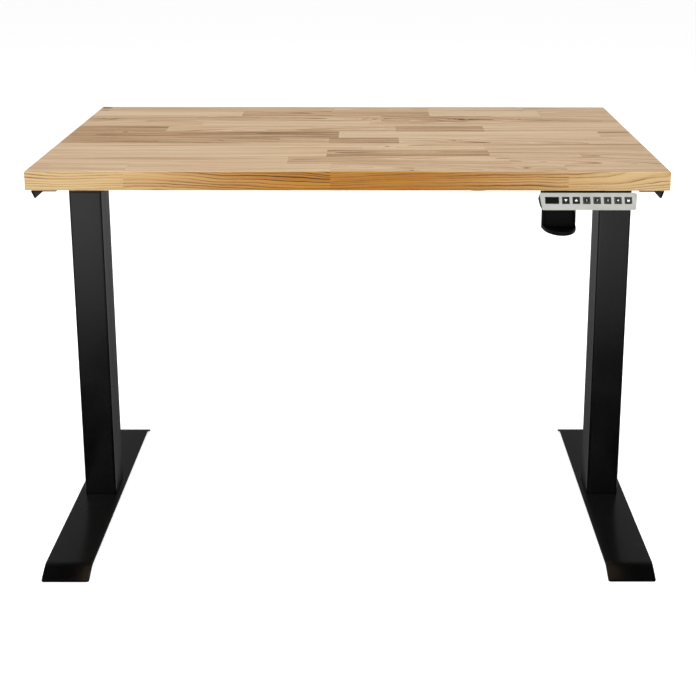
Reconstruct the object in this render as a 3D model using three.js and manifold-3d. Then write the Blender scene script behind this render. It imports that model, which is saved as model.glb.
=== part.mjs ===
// A sit-stand desk: a solid oak top on two electric lifting columns.
// Millimetres, +Z up, +X to the user's right, -Y towards the user.
// The origin is on the floor, at the centre of the whole desk's bounding box.

import * as THREE from 'three';
import { mergeVertices } from 'three/addons/utils/BufferGeometryUtils.js';
import Module from 'manifold-3d';

const wasm = await Module();
wasm.setup();

// ---------------------------------------------------------------- driving dimensions

// Worktop
const deskHeight = 735;
const topWidth = 1100;
const topDepth = 700;
const topThickness = 33;
const topCentreY = 34;
const topBevel = 1.5;
const touchGap = 0.3;

// Feet: a flat steel bar whose two ends are bent down to the floor
const footX = 507;
const footWidth = 85;
const footLength = 700;
const footCentreY = -34;
const footHeight = 19;
const footThickness = 5;
const footEndRun = 38;
const footEndLift = 1;
const footCornerRadius = 5;

// Levelling glides and the nuts that are welded under the feet
const glideInset = 62;
const glideRadius = 14;
const glidePadHeight = 5;
const glideStudRadius = 4;
const glideNutRadius = 8;
const glideNutHeight = 6.5;

// Columns: an outer tube on the foot and an inner tube that rises out of it
const columnX = 505;
const columnY = -16;
const outerTubeWidth = 62;
const outerTubeDepth = 80;
const outerTubeTop = 640;
const tubeWall = 2;
const outerTubeCorner = 5;
const innerTubeWidth = 54;
const innerTubeDepth = 72;
const innerTubeCorner = 4;
const innerTubeBottom = 40;
const innerTubeTop = 656.7;
const basePlateThickness = 8;
const footBoltOffset = 27;

// Lifting screw, its nut and the tube that holds the nut up
const spindleRadius = 7;
const spindleBottom = 60;
const spindleTop = 688;
const pushTubeRadius = 13;
const pushTubeBore = 10;
const pushTubeTop = 575;
const nutTop = 600;
const nutBore = 7.5;
const wheelRadius = 21;
const wheelTeeth = 28;
const wheelBottom = 664;
const wheelTop = 676;

// Gearboxes and motors at the column heads
const gearboxWidth = 58;
const gearboxDepth = 76;
const gearboxBottom = 657;
const gearboxTop = 698.3;
const gearboxWall = 4;
const gearboxCorner = 5;
const wormOffset = 27;
const wormRadius = 5;
const motorRadius = 20;
const motorLength = 96;

// Steel under the worktop
const bracketInnerX = 498;
const bracketOuterX = 541;
const bracketThickness = 3;
const bracketFlange = 18.6;
const bracketLength = 686;
const bracketTaper = 18;
const railWidth = 18;
const railBottom = 659;
const railTop = 698.3;
const railHalfLength = 536;
const railOffset = 59;
const railWall = 2;
const screwPilotDepth = 22;

// Control box under the worktop, behind the rear rail
const controlBox = { x0: -110, x1: 150, y0: 196, y1: 306, z0: 660, z1: 701.7 };
const inletWidth = 27;
const inletHeight = 20;

// Handset: a sloping face under the front edge, and a hook below it
const handsetX = 410;
const faceTiltDeg = 33;
const faceTopWidth = 167.6;
const faceBottomWidth = 159.4;
const faceLength = 31.5;
const faceCorner = 4;
const faceTopDrop = 36;
const bezelThickness = 3;
const keyCount = 7;
const keyPitch = 17.77;
const firstKeyX = 370.9;
const keySize = 12;
const keyRow = 14;
const displayX = 347.5;
const displayWidth = 23;
const hookX = 364.2;
const hookWidth = 58;
const hookBackY = -284;
const hookReach = 64;
const hookFloor = 630.4;
const hookWall = 3;

// Leads that are clipped under the worktop
const leadRadius = 3;
const leadGap = 1;

// ---------------------------------------------------------------- materials

const finish = (colour, roughness, metalness) =>
  new THREE.MeshStandardMaterial({ color: colour, roughness, metalness });

const oak = finish(0xc9a27a, 0.55, 0);
const blackPowderCoat = finish(0x262627, 0.45, 0.2);
const blackPlastic = finish(0x111112, 0.4, 0);
const silverPlastic = finish(0xc9ccc8, 0.35, 0.5);
const keyPlastic = finish(0x17181a, 0.45, 0);
const displayWindow = finish(0x1c1f1a, 0.15, 0);
const zincSteel = finish(0xa9adb0, 0.35, 0.9);
const nylon = finish(0x2a2a2c, 0.6, 0);
const bronze = finish(0xa8783c, 0.4, 0.9);
const cableSheath = finish(0x161616, 0.6, 0);
const circuitGreen = finish(0x24543a, 0.5, 0);

// ---------------------------------------------------------------- helpers

const desk = new THREE.Group();

function add(name, geometry, material) {
  const mesh = new THREE.Mesh(geometry, material);
  mesh.name = name;
  desk.add(mesh);
}

function block(x0, x1, y0, y1, z0, z1) {
  const box = new THREE.BoxGeometry(x1 - x0, y1 - y0, z1 - z0);
  return box.translate((x0 + x1) / 2, (y0 + y1) / 2, (z0 + z1) / 2);
}

function rod(radius, z0, z1, x = 0, y = 0, sides = 24) {
  const cylinder = new THREE.CylinderGeometry(radius, radius, z1 - z0, sides);
  return cylinder.rotateX(Math.PI / 2).translate(x, y, (z0 + z1) / 2);
}

// A rectangle with rounded corners, drawn anticlockwise about its centre.
function roundedRectangle(width, height, radius, Outline = THREE.Shape) {
  const a = width / 2 - radius;
  const b = height / 2 - radius;
  const outline = new Outline();
  outline.moveTo(a + radius, -b);
  outline.absarc(a, b, radius, 0, Math.PI / 2);
  outline.absarc(-a, b, radius, Math.PI / 2, Math.PI);
  outline.absarc(-a, -b, radius, Math.PI, 1.5 * Math.PI);
  outline.absarc(a, -b, radius, 1.5 * Math.PI, 2 * Math.PI);
  return outline;
}

// An outline in X and Y carried straight up from z0 to z1.
function prismUp(shape, z0, z1, x = 0, y = 0) {
  const options = { depth: z1 - z0, bevelEnabled: false, curveSegments: 4 };
  return new THREE.ExtrudeGeometry(shape, options).translate(x, y, z0);
}

// An outline in Y and Z carried along X from x0 to x1.
function prismAcross(points, x0, x1) {
  const shape = new THREE.Shape(points.map(([y, z]) => new THREE.Vector2(y, z)));
  const options = { depth: x1 - x0, bevelEnabled: false, curveSegments: 6 };
  const turned = new THREE.Matrix4().makeBasis(
    new THREE.Vector3(0, 1, 0), new THREE.Vector3(0, 0, 1), new THREE.Vector3(1, 0, 0));
  return new THREE.ExtrudeGeometry(shape, options).applyMatrix4(turned).translate(x0, 0, 0);
}

// A rectangular ring: an outer and an inner outline with the same centre.
function ringUp(outer, inner, z0, z1, x = 0, y = 0) {
  const shape = roundedRectangle(outer.width, outer.depth, outer.corner);
  shape.holes.push(roundedRectangle(inner.width, inner.depth, inner.corner, THREE.Path));
  return prismUp(shape, z0, z1, x, y);
}

function toSolid(geometry) {
  const plain = geometry.clone();
  plain.deleteAttribute('normal');
  plain.deleteAttribute('uv');
  const merged = mergeVertices(plain, 1e-4);
  const vertProperties = new Float32Array(merged.attributes.position.array);
  const triVerts = new Uint32Array(merged.index.array);
  return new wasm.Manifold(new wasm.Mesh({ numProp: 3, vertProperties, triVerts }));
}

function toGeometry(solid) {
  const mesh = solid.getMesh();
  const geometry = new THREE.BufferGeometry();
  geometry.setAttribute('position', new THREE.BufferAttribute(mesh.vertProperties, 3));
  geometry.setIndex(new THREE.BufferAttribute(mesh.triVerts, 1));
  return geometry;
}

const joined = (...pieces) =>
  toGeometry(pieces.map(toSolid).reduce((whole, piece) => whole.add(piece)));

const cut = (body, ...tools) =>
  toGeometry(tools.map(toSolid).reduce((rest, tool) => rest.subtract(tool), toSolid(body)));

const common = (a, b) => toGeometry(toSolid(a).intersect(toSolid(b)));

// A round lead carried along a smooth curve through the given points.
function lead(points, radius) {
  const path = new THREE.CatmullRomCurve3(
    points.map((p) => new THREE.Vector3(...p)), false, 'centripetal');
  const section = new THREE.Shape();
  section.absarc(0, 0, radius, 0, 2 * Math.PI);
  const steps = Math.round(path.getLength() / (radius * 5));
  const options = { extrudePath: path, steps, curveSegments: 4, bevelEnabled: false };
  return new THREE.ExtrudeGeometry(section, options);
}

const sides = [['left', -1], ['right', 1]];
const undersideZ = deskHeight - topThickness;

// ---------------------------------------------------------------- feet and glides

const footFrontY = footCentreY - footLength / 2;
const footRearY = footCentreY + footLength / 2;
const glideYs = [['front', footFrontY + glideInset], ['rear', footRearY - glideInset]];

// The bar's side profile: a flat middle, and two ends that slope to the floor.
function footProfile() {
  const slope = Math.atan2(footHeight - footEndLift, footEndRun);
  const shift = footThickness * Math.tan(slope / 2);
  const endHeight = footThickness / Math.cos(slope);
  const front = footFrontY;
  const rear = footRearY;
  const top = footHeight;
  const under = footHeight - footThickness;
  const tipRun = footEndRun - (endHeight / (footHeight - footEndLift)) * footEndRun;
  return [
    [front, footEndLift],
    [front + footEndRun - tipRun - 1, footEndLift],
    [front + footEndRun + shift - 1, under],
    [rear - footEndRun - shift + 1, under],
    [rear - footEndRun + tipRun + 1, footEndLift],
    [rear, footEndLift],
    [rear, footEndLift + 2],
    [rear - footEndRun, top],
    [front + footEndRun, top],
    [front, footEndLift + 2],
  ];
}

// The bar seen from above, with a small radius at each corner.
function footPlan(x) {
  const plan = roundedRectangle(footWidth, footLength, footCornerRadius);
  return prismUp(plan, -1, footHeight + 1, x, footCentreY);
}

for (const [side, sign] of sides) {
  const x = sign * footX;
  const bar = prismAcross(footProfile(), x - footWidth / 2, x + footWidth / 2);
  const plate = common(bar, footPlan(x));
  const nutTopZ = footHeight - footThickness;
  const nuts = glideYs.map(([, y]) =>
    rod(glideNutRadius, nutTopZ - glideNutHeight, nutTopZ + 1, x, y, 6));
  const bores = glideYs.map(([, y]) => rod(glideStudRadius + 0.3, 0, nutTopZ - 0.4, x, y));
  const boltHoles = [-1, 1].map((end) =>
    rod(3.5, 0, footHeight + 1, sign * columnX, columnY + end * footBoltOffset));
  add(`foot_${side}`, cut(joined(plate, ...nuts), ...bores, ...boltHoles), blackPowderCoat);

  for (const [end, y] of glideYs) {
    const pad = rod(glideRadius, 0, glidePadHeight, x, y, 32);
    const stud = rod(glideStudRadius, glidePadHeight - 1, nutTopZ - 0.8, x, y);
    add(`glide_${end}_${side}`, joined(pad, stud), blackPlastic);
  }
}

// ---------------------------------------------------------------- columns

const outerTube = { width: outerTubeWidth, depth: outerTubeDepth, corner: outerTubeCorner };
const outerBore = {
  width: outerTubeWidth - 2 * tubeWall,
  depth: outerTubeDepth - 2 * tubeWall,
  corner: outerTubeCorner - tubeWall,
};
const innerTube = { width: innerTubeWidth, depth: innerTubeDepth, corner: innerTubeCorner };
const innerBore = {
  width: innerTubeWidth - 2 * tubeWall,
  depth: innerTubeDepth - 2 * tubeWall,
  corner: innerTubeCorner - tubeWall,
};
const grown = (outline, by) =>
  ({ width: outline.width + by, depth: outline.depth + by, corner: outline.corner });

const columnFoot = footHeight + touchGap;
const basePlateTop = columnFoot + basePlateThickness;

function collar(x) {
  const bore = grown(innerTube, 0.6);
  const skirt = ringUp(grown(outerBore, -0.6), bore, outerTubeTop - 28, outerTubeTop + 2, x, columnY);
  const lip = ringUp(outerTube, bore, outerTubeTop + touchGap, outerTubeTop + 5, x, columnY);
  return joined(skirt, lip);
}

function addColumn(side, sign) {
  const x = sign * columnX;
  const outer = ringUp(outerTube, outerBore, columnFoot, outerTubeTop, x, columnY);
  add(`outer_tube_${side}`, outer, blackPowderCoat);

  const plateShape = roundedRectangle(outerBore.width - 0.6, outerBore.depth - 0.6, outerBore.corner);
  const plate = prismUp(plateShape, columnFoot, basePlateTop, x, columnY);
  const boltYs = [columnY - footBoltOffset, columnY + footBoltOffset];
  const threads = boltYs.map((y) => rod(3.3, 0, basePlateTop + 1, x, y));
  add(`column_base_plate_${side}`, cut(plate, ...threads), zincSteel);
  for (const [i, y] of boltYs.entries()) {
    const under = footHeight - footThickness;
    const head = rod(6.5, under - 3, under - touchGap, x, y, 6);
    const shank = rod(3, under - 1, basePlateTop - 1, x, y);
    add(`foot_bolt_${side}_${i + 1}`, joined(head, shank), zincSteel);
  }

  add(`column_collar_${side}`, collar(x), nylon);

  const postBottom = basePlateTop + touchGap;
  const post = rod(pushTubeRadius, postBottom, pushTubeTop, x, columnY, 32);
  const postBore = rod(pushTubeBore, postBottom - 1, pushTubeTop + 1, x, columnY, 32);
  add(`nut_post_${side}`, cut(post, postBore), zincSteel);
  const nut = rod(pushTubeRadius, pushTubeTop + touchGap, nutTop, x, columnY, 32);
  const nutHole = rod(nutBore, pushTubeTop, nutTop + 1, x, columnY, 32);
  add(`lifting_nut_${side}`, cut(nut, nutHole), bronze);

  const inner = ringUp(innerTube, innerBore, innerTubeBottom, innerTubeTop, x, columnY);
  add(`inner_tube_${side}`, inner, blackPowderCoat);
  const bushOuter = grown(outerBore, -0.6);
  const bushBore = grown(innerTube, 0.6);
  const bush = ringUp(bushOuter, bushBore, innerTubeBottom + 2, innerTubeBottom + 32, x, columnY);
  add(`inner_tube_bush_${side}`, bush, nylon);
}

// ---------------------------------------------------------------- screw drives

function wormWheel(x) {
  const outline = new THREE.Shape();
  const corners = wheelTeeth * 4;
  for (let i = 0; i < corners; i += 1) {
    const angle = (i / corners) * 2 * Math.PI;
    const radius = i % 4 < 2 ? wheelRadius : wheelRadius - 1.8;
    const point = [radius * Math.cos(angle), radius * Math.sin(angle)];
    if (i === 0) {
      outline.moveTo(...point);
    } else {
      outline.lineTo(...point);
    }
  }
  const disc = prismUp(outline, wheelBottom, wheelTop, x, columnY);
  return cut(disc, rod(spindleRadius + 0.3, wheelBottom - 1, wheelTop + 1, x, columnY));
}

function gearbox(x) {
  const outline = roundedRectangle(gearboxWidth, gearboxDepth, gearboxCorner);
  const shell = prismUp(outline, gearboxBottom, gearboxTop, x, columnY);
  const cavity = block(
    x - gearboxWidth / 2 + gearboxWall, x + gearboxWidth / 2 - gearboxWall,
    columnY - gearboxDepth / 2 + gearboxWall, columnY + gearboxDepth / 2 - gearboxWall,
    gearboxBottom - 1, gearboxTop - 12);
  const bearing = rod(spindleRadius + 0.3, gearboxTop - 14, spindleTop + 1, x, columnY);
  const shaftZ = (wheelBottom + wheelTop) / 2;
  const inward = -Math.sign(x);
  const shaftHole = rod(wormRadius + 0.5, 0, 40).rotateY(inward * Math.PI / 2);
  shaftHole.translate(x, columnY + wormOffset, shaftZ);
  return cut(shell, cavity, bearing, shaftHole);
}

// The motor lies along the rails; its worm reaches into the gearbox beside the wheel.
function motor(x) {
  const inward = -Math.sign(x);
  const face = gearboxWidth / 2 + touchGap;
  const turn = inward * Math.PI / 2;
  const can = rod(motorRadius, face, face + motorLength, 0, 0, 32);
  const worm = rod(wormRadius, -16, face + 1);
  const cap = rod(motorRadius - 4, face + motorLength - 1, face + motorLength + 6, 0, 0, 32);
  const whole = joined(can, worm, cap).rotateY(turn);
  return whole.translate(x, columnY + wormOffset, (wheelBottom + wheelTop) / 2);
}

for (const [side, sign] of sides) {
  addColumn(side, sign);
  const x = sign * columnX;
  add(`spindle_${side}`, rod(spindleRadius, spindleBottom, spindleTop, x, columnY), zincSteel);
  add(`worm_wheel_${side}`, wormWheel(x), bronze);
  add(`gearbox_${side}`, gearbox(x), blackPowderCoat);
  add(`motor_${side}`, motor(x), zincSteel);
}

// ---------------------------------------------------------------- brackets and rails

const bracketFrontY = topCentreY - bracketLength / 2;
const bracketRearY = topCentreY + bracketLength / 2;
const bracketTop = undersideZ - touchGap;
const screwYs = [topCentreY - 285, topCentreY + 285];
const screwX = 520;

function sideBracket(sign) {
  const flangeBottom = undersideZ - bracketFlange;
  const profile = [
    [bracketFrontY + bracketTaper, flangeBottom],
    [bracketRearY - bracketTaper, flangeBottom],
    [bracketRearY, bracketTop],
    [bracketFrontY, bracketTop],
  ];
  const outer = sign * bracketOuterX;
  const inner = sign * (bracketOuterX - bracketThickness);
  const flange = prismAcross(profile, Math.min(outer, inner), Math.max(outer, inner));
  const edge = sign * bracketInnerX;
  const leaf = block(
    Math.min(edge, outer), Math.max(edge, outer),
    bracketFrontY, bracketRearY, bracketTop - bracketThickness, bracketTop);
  const holes = screwYs.map((y) => rod(2.8, bracketTop - 5, bracketTop + 1, sign * screwX, y));
  return cut(joined(flange, leaf), ...holes);
}

function rail(y) {
  const x0 = -railHalfLength;
  const x1 = railHalfLength;
  const bar = block(x0, x1, y - railWidth / 2, y + railWidth / 2, railBottom, railTop);
  const bore = block(
    x0 - 1, x1 + 1, y - railWidth / 2 + railWall, y + railWidth / 2 - railWall,
    railBottom + railWall, railTop - railWall);
  return cut(bar, bore);
}

for (const [side, sign] of sides) {
  add(`side_bracket_${side}`, sideBracket(sign), blackPowderCoat);
  for (const [i, y] of screwYs.entries()) {
    const leafUnder = bracketTop - bracketThickness;
    const head = rod(5.5, leafUnder - 3, leafUnder - touchGap, sign * screwX, y);
    const shank = rod(2.4, leafUnder - 1, undersideZ + screwPilotDepth - 2, sign * screwX, y, 12);
    add(`bracket_screw_${side}_${i + 1}`, joined(head, shank), zincSteel);
  }
}
add('front_rail', rail(columnY - railOffset), blackPowderCoat);
add('rear_rail', rail(columnY + railOffset), blackPowderCoat);

// ---------------------------------------------------------------- worktop

function worktop() {
  const inset = topBevel;
  const outline = roundedRectangle(topWidth - 2 * inset, topDepth - 2 * inset, 0.5);
  const slab = new THREE.ExtrudeGeometry(outline, {
    depth: topThickness - 2 * inset,
    bevelEnabled: true,
    bevelSize: inset,
    bevelThickness: inset,
    bevelSegments: 1,
    curveSegments: 1,
  });
  slab.translate(0, topCentreY, undersideZ + inset);
  const pilots = sides.flatMap(([, sign]) =>
    screwYs.map((y) => rod(2.7, undersideZ - 1, undersideZ + screwPilotDepth, sign * screwX, y, 12)));
  return cut(slab, ...pilots);
}
add('worktop', worktop(), oak);

// ---------------------------------------------------------------- control box

const inletX = controlBox.x1;
const inletY = (controlBox.y0 + controlBox.y1) / 2 + 22;
const inletZ = (controlBox.z0 + controlBox.z1) / 2;

function controlCase() {
  const { x0, x1, y0, y1, z0, z1 } = controlBox;
  const shape = roundedRectangle(x1 - x0, y1 - y0, 8);
  const body = prismUp(shape, z0, z1, (x0 + x1) / 2, (y0 + y1) / 2);
  const pocket = block(
    inletX - 22, inletX + 1,
    inletY - inletWidth / 2 - touchGap, inletY + inletWidth / 2 + touchGap,
    inletZ - inletHeight / 2 - touchGap, inletZ + inletHeight / 2 + touchGap);
  return cut(body, pocket);
}

// The mains inlet: a shroud with two contact pins standing in its recess.
function mainsInlet() {
  const body = block(
    inletX - 21.5, inletX + 1,
    inletY - inletWidth / 2, inletY + inletWidth / 2,
    inletZ - inletHeight / 2, inletZ + inletHeight / 2);
  const recess = block(
    inletX - 17, inletX + 2,
    inletY - inletWidth / 2 + 3, inletY + inletWidth / 2 - 3,
    inletZ - inletHeight / 2 + 3.5, inletZ + inletHeight / 2 - 3.5);
  const pins = [-4.3, 4.3].map((y) =>
    rod(1.2, 0, 10, 0, 0, 12).rotateY(Math.PI / 2).translate(inletX - 18, inletY + y, inletZ));
  return joined(cut(body, recess), ...pins);
}
add('control_box', controlCase(), blackPlastic);
add('mains_inlet', mainsInlet(), blackPlastic);

// ---------------------------------------------------------------- handset

// The sloping face has its own frame: u to the right, v down the slope, n out of it.
const tilt = THREE.MathUtils.degToRad(faceTiltDeg);
const faceOrigin = new THREE.Vector3(handsetX, topCentreY - topDepth / 2, deskHeight - faceTopDrop);
const faceU = new THREE.Vector3(1, 0, 0);
const faceUp = new THREE.Vector3(0, Math.sin(tilt), Math.cos(tilt));
const faceN = new THREE.Vector3(0, -Math.cos(tilt), Math.sin(tilt));
const faceMatrix = new THREE.Matrix4().makeBasis(faceU, faceUp, faceN).setPosition(faceOrigin);
const onFace = (geometry) => geometry.applyMatrix4(faceMatrix);

// The face's outline, wider at the top, drawn inset by a margin.
function faceOutline(margin) {
  const a = faceTopWidth / 2 - margin;
  const b = faceBottomWidth / 2 - margin;
  const top = -margin;
  const bottom = -faceLength + margin;
  const r = Math.max(faceCorner - margin, 1);
  const outline = new THREE.Shape();
  outline.moveTo(-a + r, top);
  outline.quadraticCurveTo(-a, top, -a + 0.1 * r, top - r);
  outline.lineTo(-b, bottom + r);
  outline.quadraticCurveTo(-b, bottom, -b + r, bottom);
  outline.lineTo(b - r, bottom);
  outline.quadraticCurveTo(b, bottom, b, bottom + r);
  outline.lineTo(a - 0.1 * r, top - r);
  outline.quadraticCurveTo(a, top, a - r, top);
  return outline;
}

// A slab of the face's outline, from depth n0 to depth n1 along the face normal.
function faceSlab(margin, n0, n1) {
  const options = { depth: n1 - n0, bevelEnabled: false, curveSegments: 4 };
  return new THREE.ExtrudeGeometry(faceOutline(margin), options).translate(0, 0, n0);
}

function faceBlock(x, width, height, n0, n1) {
  const u = x - handsetX;
  return block(u - width / 2, u + width / 2, -keyRow - height / 2, -keyRow + height / 2, n0, n1);
}

const keyXs = Array.from({ length: keyCount }, (_, i) => firstKeyX + i * keyPitch);
const keyNames = ['down', 'up', 'memory_1', 'memory_2', 'memory_3', 'memory_4', 'lock'];
const hoodRearY = -300;
const hoodFloorZ = 672.3;
const housingWidth = 148;
const housingFrontY = -313.5;
const housingRearY = -248;
const plateZ = 699.3;
const boardFront = -bezelThickness - 1.4;
const coreFront = -bezelThickness - 3.2;

// The bezel is a hood: the sloping face with cheeks, cut off level below and square behind.
function hoodZone(rearY, floorZ) {
  return block(300, 520, -400, rearY, floorZ, undersideZ - touchGap);
}

function bezel() {
  const outer = common(onFace(faceSlab(0, -60, 0)), hoodZone(hoodRearY, hoodFloorZ));
  const hollow = common(
    onFace(faceSlab(bezelThickness, -80, -bezelThickness)),
    hoodZone(hoodRearY + 1, hoodFloorZ + bezelThickness));
  const hole = keySize + 0.7;
  const keyHoles = keyXs.map((x) => onFace(faceBlock(x, hole, hole, -bezelThickness - 1, 1)));
  const windowHole = onFace(faceBlock(displayX, displayWidth + 0.7, hole, -bezelThickness - 1, 1));
  return cut(outer, hollow, ...keyHoles, windowHole);
}

function handsetHousing() {
  const fill = onFace(faceSlab(bezelThickness + 0.4, -60, coreFront));
  const core = common(fill, hoodZone(hoodRearY + 6, hoodFloorZ + bezelThickness + 0.4));
  const half = housingWidth / 2;
  const left = handsetX - half;
  const right = handsetX + half;
  const plate = block(left, right, housingFrontY, -290, plateZ, undersideZ - touchGap);
  const rear = block(left, right, hoodRearY + 1, housingRearY, 671, undersideZ - touchGap);
  return joined(core, rear, plate);
}

add('handset_bezel', bezel(), silverPlastic);
add('handset_housing', handsetHousing(), blackPlastic);
const boardMargin = bezelThickness + 4.6;
add('handset_board', onFace(faceSlab(boardMargin, boardFront - 1.4, boardFront)), circuitGreen);
add('display_window', onFace(faceBlock(displayX, displayWidth, keySize, -2.4, -0.2)), displayWindow);
for (const [i, x] of keyXs.entries()) {
  add(`key_${keyNames[i]}`, onFace(faceBlock(x, keySize, keySize, -bezelThickness, 0.5)), keyPlastic);
}

// The hook: a back plate with side cheeks, and a rounded tongue with a raised rim.
function hookPlan(inset) {
  const half = hookWidth / 2 - inset;
  const back = hookBackY;
  const straight = hookBackY - 26;
  const front = hookBackY - hookReach + inset;
  const plan = new THREE.Shape();
  plan.moveTo(hookX + half, back);
  plan.lineTo(hookX - half, back);
  plan.lineTo(hookX - half, straight);
  plan.absellipse(hookX, straight, half, straight - front, Math.PI, 2 * Math.PI, false);
  return plan;
}

function hook() {
  const rimTop = hookFloor + hookWall + 4;
  const plateTop = 670.7;
  const options = { bevelEnabled: false, curveSegments: 20 };
  const tray = new THREE.ExtrudeGeometry(hookPlan(0), { depth: rimTop - hookFloor, ...options });
  const hollow = new THREE.ExtrudeGeometry(hookPlan(hookWall), { depth: 60, ...options });
  const back = block(
    hookX - hookWidth / 2, hookX + hookWidth / 2,
    hookBackY - hookWall, hookBackY, hookFloor, plateTop);
  const tab = block(
    hookX - hookWidth / 2 + 6, hookX + hookWidth / 2 - 6,
    hookBackY - 1, hookBackY + 22, plateTop - 3, plateTop);
  const cheekProfile = [
    [hookBackY, hookFloor], [hookBackY, plateTop], [hookBackY - 8, plateTop],
    [hookBackY - 12, rimTop + 6], [hookBackY - 26, rimTop], [hookBackY - 26, hookFloor],
  ].reverse();
  const cheeks = [-1, 1].map((sign) => {
    const outer = hookX + sign * hookWidth / 2;
    const inner = outer - sign * hookWall;
    return prismAcross(cheekProfile, Math.min(outer, inner), Math.max(outer, inner));
  });
  const bowl = cut(tray.translate(0, 0, hookFloor), hollow.translate(0, 0, hookFloor + hookWall));
  return joined(bowl, back, tab, ...cheeks);
}
add('bag_hook', hook(), blackPlastic);

// ---------------------------------------------------------------- leads under the worktop

const railUnder = railBottom - leadRadius - 1.5;
const boxFrontY = controlBox.y0 - leadGap;
const boxPortZ = 672;
const motorEndX = columnX - gearboxWidth / 2 - motorLength - 7;
const motorY = columnY + wormOffset;
const motorZ = (wheelBottom + wheelTop) / 2;

// A motor lead runs between the rails, dips under the rear rail and enters the box.
function motorLead(sign, portX) {
  const rearRailY = columnY + railOffset;
  const turnX = portX + sign * 40;
  return lead([
    [sign * motorEndX, motorY, motorZ],
    [sign * (motorEndX - 25), motorY, motorZ + 4],
    [sign * 220, motorY - 4, 686],
    [turnX + sign * 20, motorY - 4, 684],
    [turnX, motorY, 672],
    [turnX - sign * 8, rearRailY - 12, railUnder],
    [turnX - sign * 14, rearRailY + 12, railUnder],
    [turnX - sign * 24, rearRailY + 50, 668],
    [portX, boxFrontY - 40, boxPortZ],
    [portX, boxFrontY, boxPortZ],
  ], leadRadius);
}

// The handset's lead passes under both rails.
function handsetLead(portX) {
  const frontRailY = columnY - railOffset;
  const rearRailY = columnY + railOffset;
  return lead([
    [handsetX - 30, housingRearY + leadGap, 690],
    [handsetX - 30, housingRearY + 20, 690],
    [handsetX - 70, -170, 684],
    [handsetX - 150, -130, 664],
    [handsetX - 185, frontRailY - 14, railUnder],
    [handsetX - 195, frontRailY + 16, railUnder],
    [handsetX - 225, 0, railUnder - 1],
    [handsetX - 260, rearRailY - 12, railUnder],
    [handsetX - 270, rearRailY + 14, railUnder],
    [portX + 20, boxFrontY - 60, 668],
    [portX, boxFrontY - 24, boxPortZ],
    [portX, boxFrontY, boxPortZ],
  ], leadRadius - 0.5);
}

add('motor_lead_left', motorLead(-1, -70), cableSheath);
add('motor_lead_right', motorLead(1, 20), cableSheath);
add('handset_lead', handsetLead(110), cableSheath);

export default desk;
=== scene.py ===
# %% [markdown]
# # An electric sit-stand desk
# An oak top, glued up from narrow staves, rests on a black steel frame with
# two lifting columns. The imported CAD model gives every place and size. This
# script gives each part its finished surface and its material.

# %% The frame and its box
import math

import bpy
import numpy as np
from mathutils import Matrix, Vector


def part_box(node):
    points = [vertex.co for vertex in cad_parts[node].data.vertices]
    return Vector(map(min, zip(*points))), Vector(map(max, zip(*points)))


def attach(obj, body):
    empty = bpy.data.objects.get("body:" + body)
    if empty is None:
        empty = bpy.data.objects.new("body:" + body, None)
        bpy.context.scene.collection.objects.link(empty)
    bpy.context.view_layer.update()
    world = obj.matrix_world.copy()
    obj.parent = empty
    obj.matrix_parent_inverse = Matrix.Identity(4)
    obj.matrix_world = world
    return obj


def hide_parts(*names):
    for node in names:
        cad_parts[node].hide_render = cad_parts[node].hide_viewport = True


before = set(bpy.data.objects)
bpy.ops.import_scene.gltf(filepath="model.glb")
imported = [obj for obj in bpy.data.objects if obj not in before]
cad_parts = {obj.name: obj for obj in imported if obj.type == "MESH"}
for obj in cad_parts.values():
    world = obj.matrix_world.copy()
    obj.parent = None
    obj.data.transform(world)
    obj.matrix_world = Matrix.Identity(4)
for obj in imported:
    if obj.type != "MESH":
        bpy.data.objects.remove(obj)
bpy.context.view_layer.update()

# %% [markdown]
# ## The camera
# A real product shot of a desk is taken from a few steps away with a long
# lens, a little above eye height for someone sitting. The long lens keeps the
# legs parallel. The lens is shifted, as on a view camera, so that the whole
# desk fits while the camera looks down only a little.

# %% A camera on the user's side
CAMERA_PLACE = (0.0414, -2.5630, 1.2016)
LOOKS_DOWN_DEG = 14.622
TURNS_RIGHT_DEG = 0.2995
ROLL_DEG = 0.1
LENS_MM = 69.84
LENS_SHIFT = (-0.0447, -0.15517)

lens = bpy.data.cameras.new("camera")
lens.lens = LENS_MM
lens.shift_x, lens.shift_y = LENS_SHIFT
lens.clip_end = 200.0
camera = bpy.data.objects.new("camera", lens)
turn = Matrix.Rotation(-math.radians(TURNS_RIGHT_DEG), 4, "Z")
tip = Matrix.Rotation(math.radians(90.0 - LOOKS_DOWN_DEG), 4, "X")
roll = Matrix.Rotation(math.radians(ROLL_DEG), 4, "Z")
camera.matrix_world = Matrix.Translation(CAMERA_PLACE) @ turn @ tip @ roll
bpy.context.scene.collection.objects.link(camera)
bpy.context.scene.camera = camera
bpy.context.scene.view_settings.view_transform = "Standard"
print("camera at", CAMERA_PLACE, "with a", LENS_MM, "mm lens")

# %% [markdown]
# ## Reckoning with nodes
# A material in Blender is a small network of nodes. Laying each node and link by
# hand hides the idea, so a wire here is a node's output that can be reckoned
# with: a + b or a * b adds the Math node and hands back its output. A finish
# then reads like a formula.


# %% Wires
class Wire:
    """A node's output. Adding, subtracting, multiplying or dividing makes a Math node."""

    def __init__(self, socket):
        self.socket = socket
        self.tree = socket.id_data

    def __add__(self, other):
        return calc("ADD", self, other)

    def __sub__(self, other):
        return calc("SUBTRACT", self, other)

    def __rsub__(self, other):
        return calc("SUBTRACT", other, self)

    def __mul__(self, other):
        return calc("MULTIPLY", self, other)

    def __truediv__(self, other):
        return calc("DIVIDE", self, other)


def feed(value, socket):
    """Links a wire to a socket, or writes a plain value on it."""
    if isinstance(value, Wire):
        value.tree.links.new(value.socket, socket)
    else:
        socket.default_value = value


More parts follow.
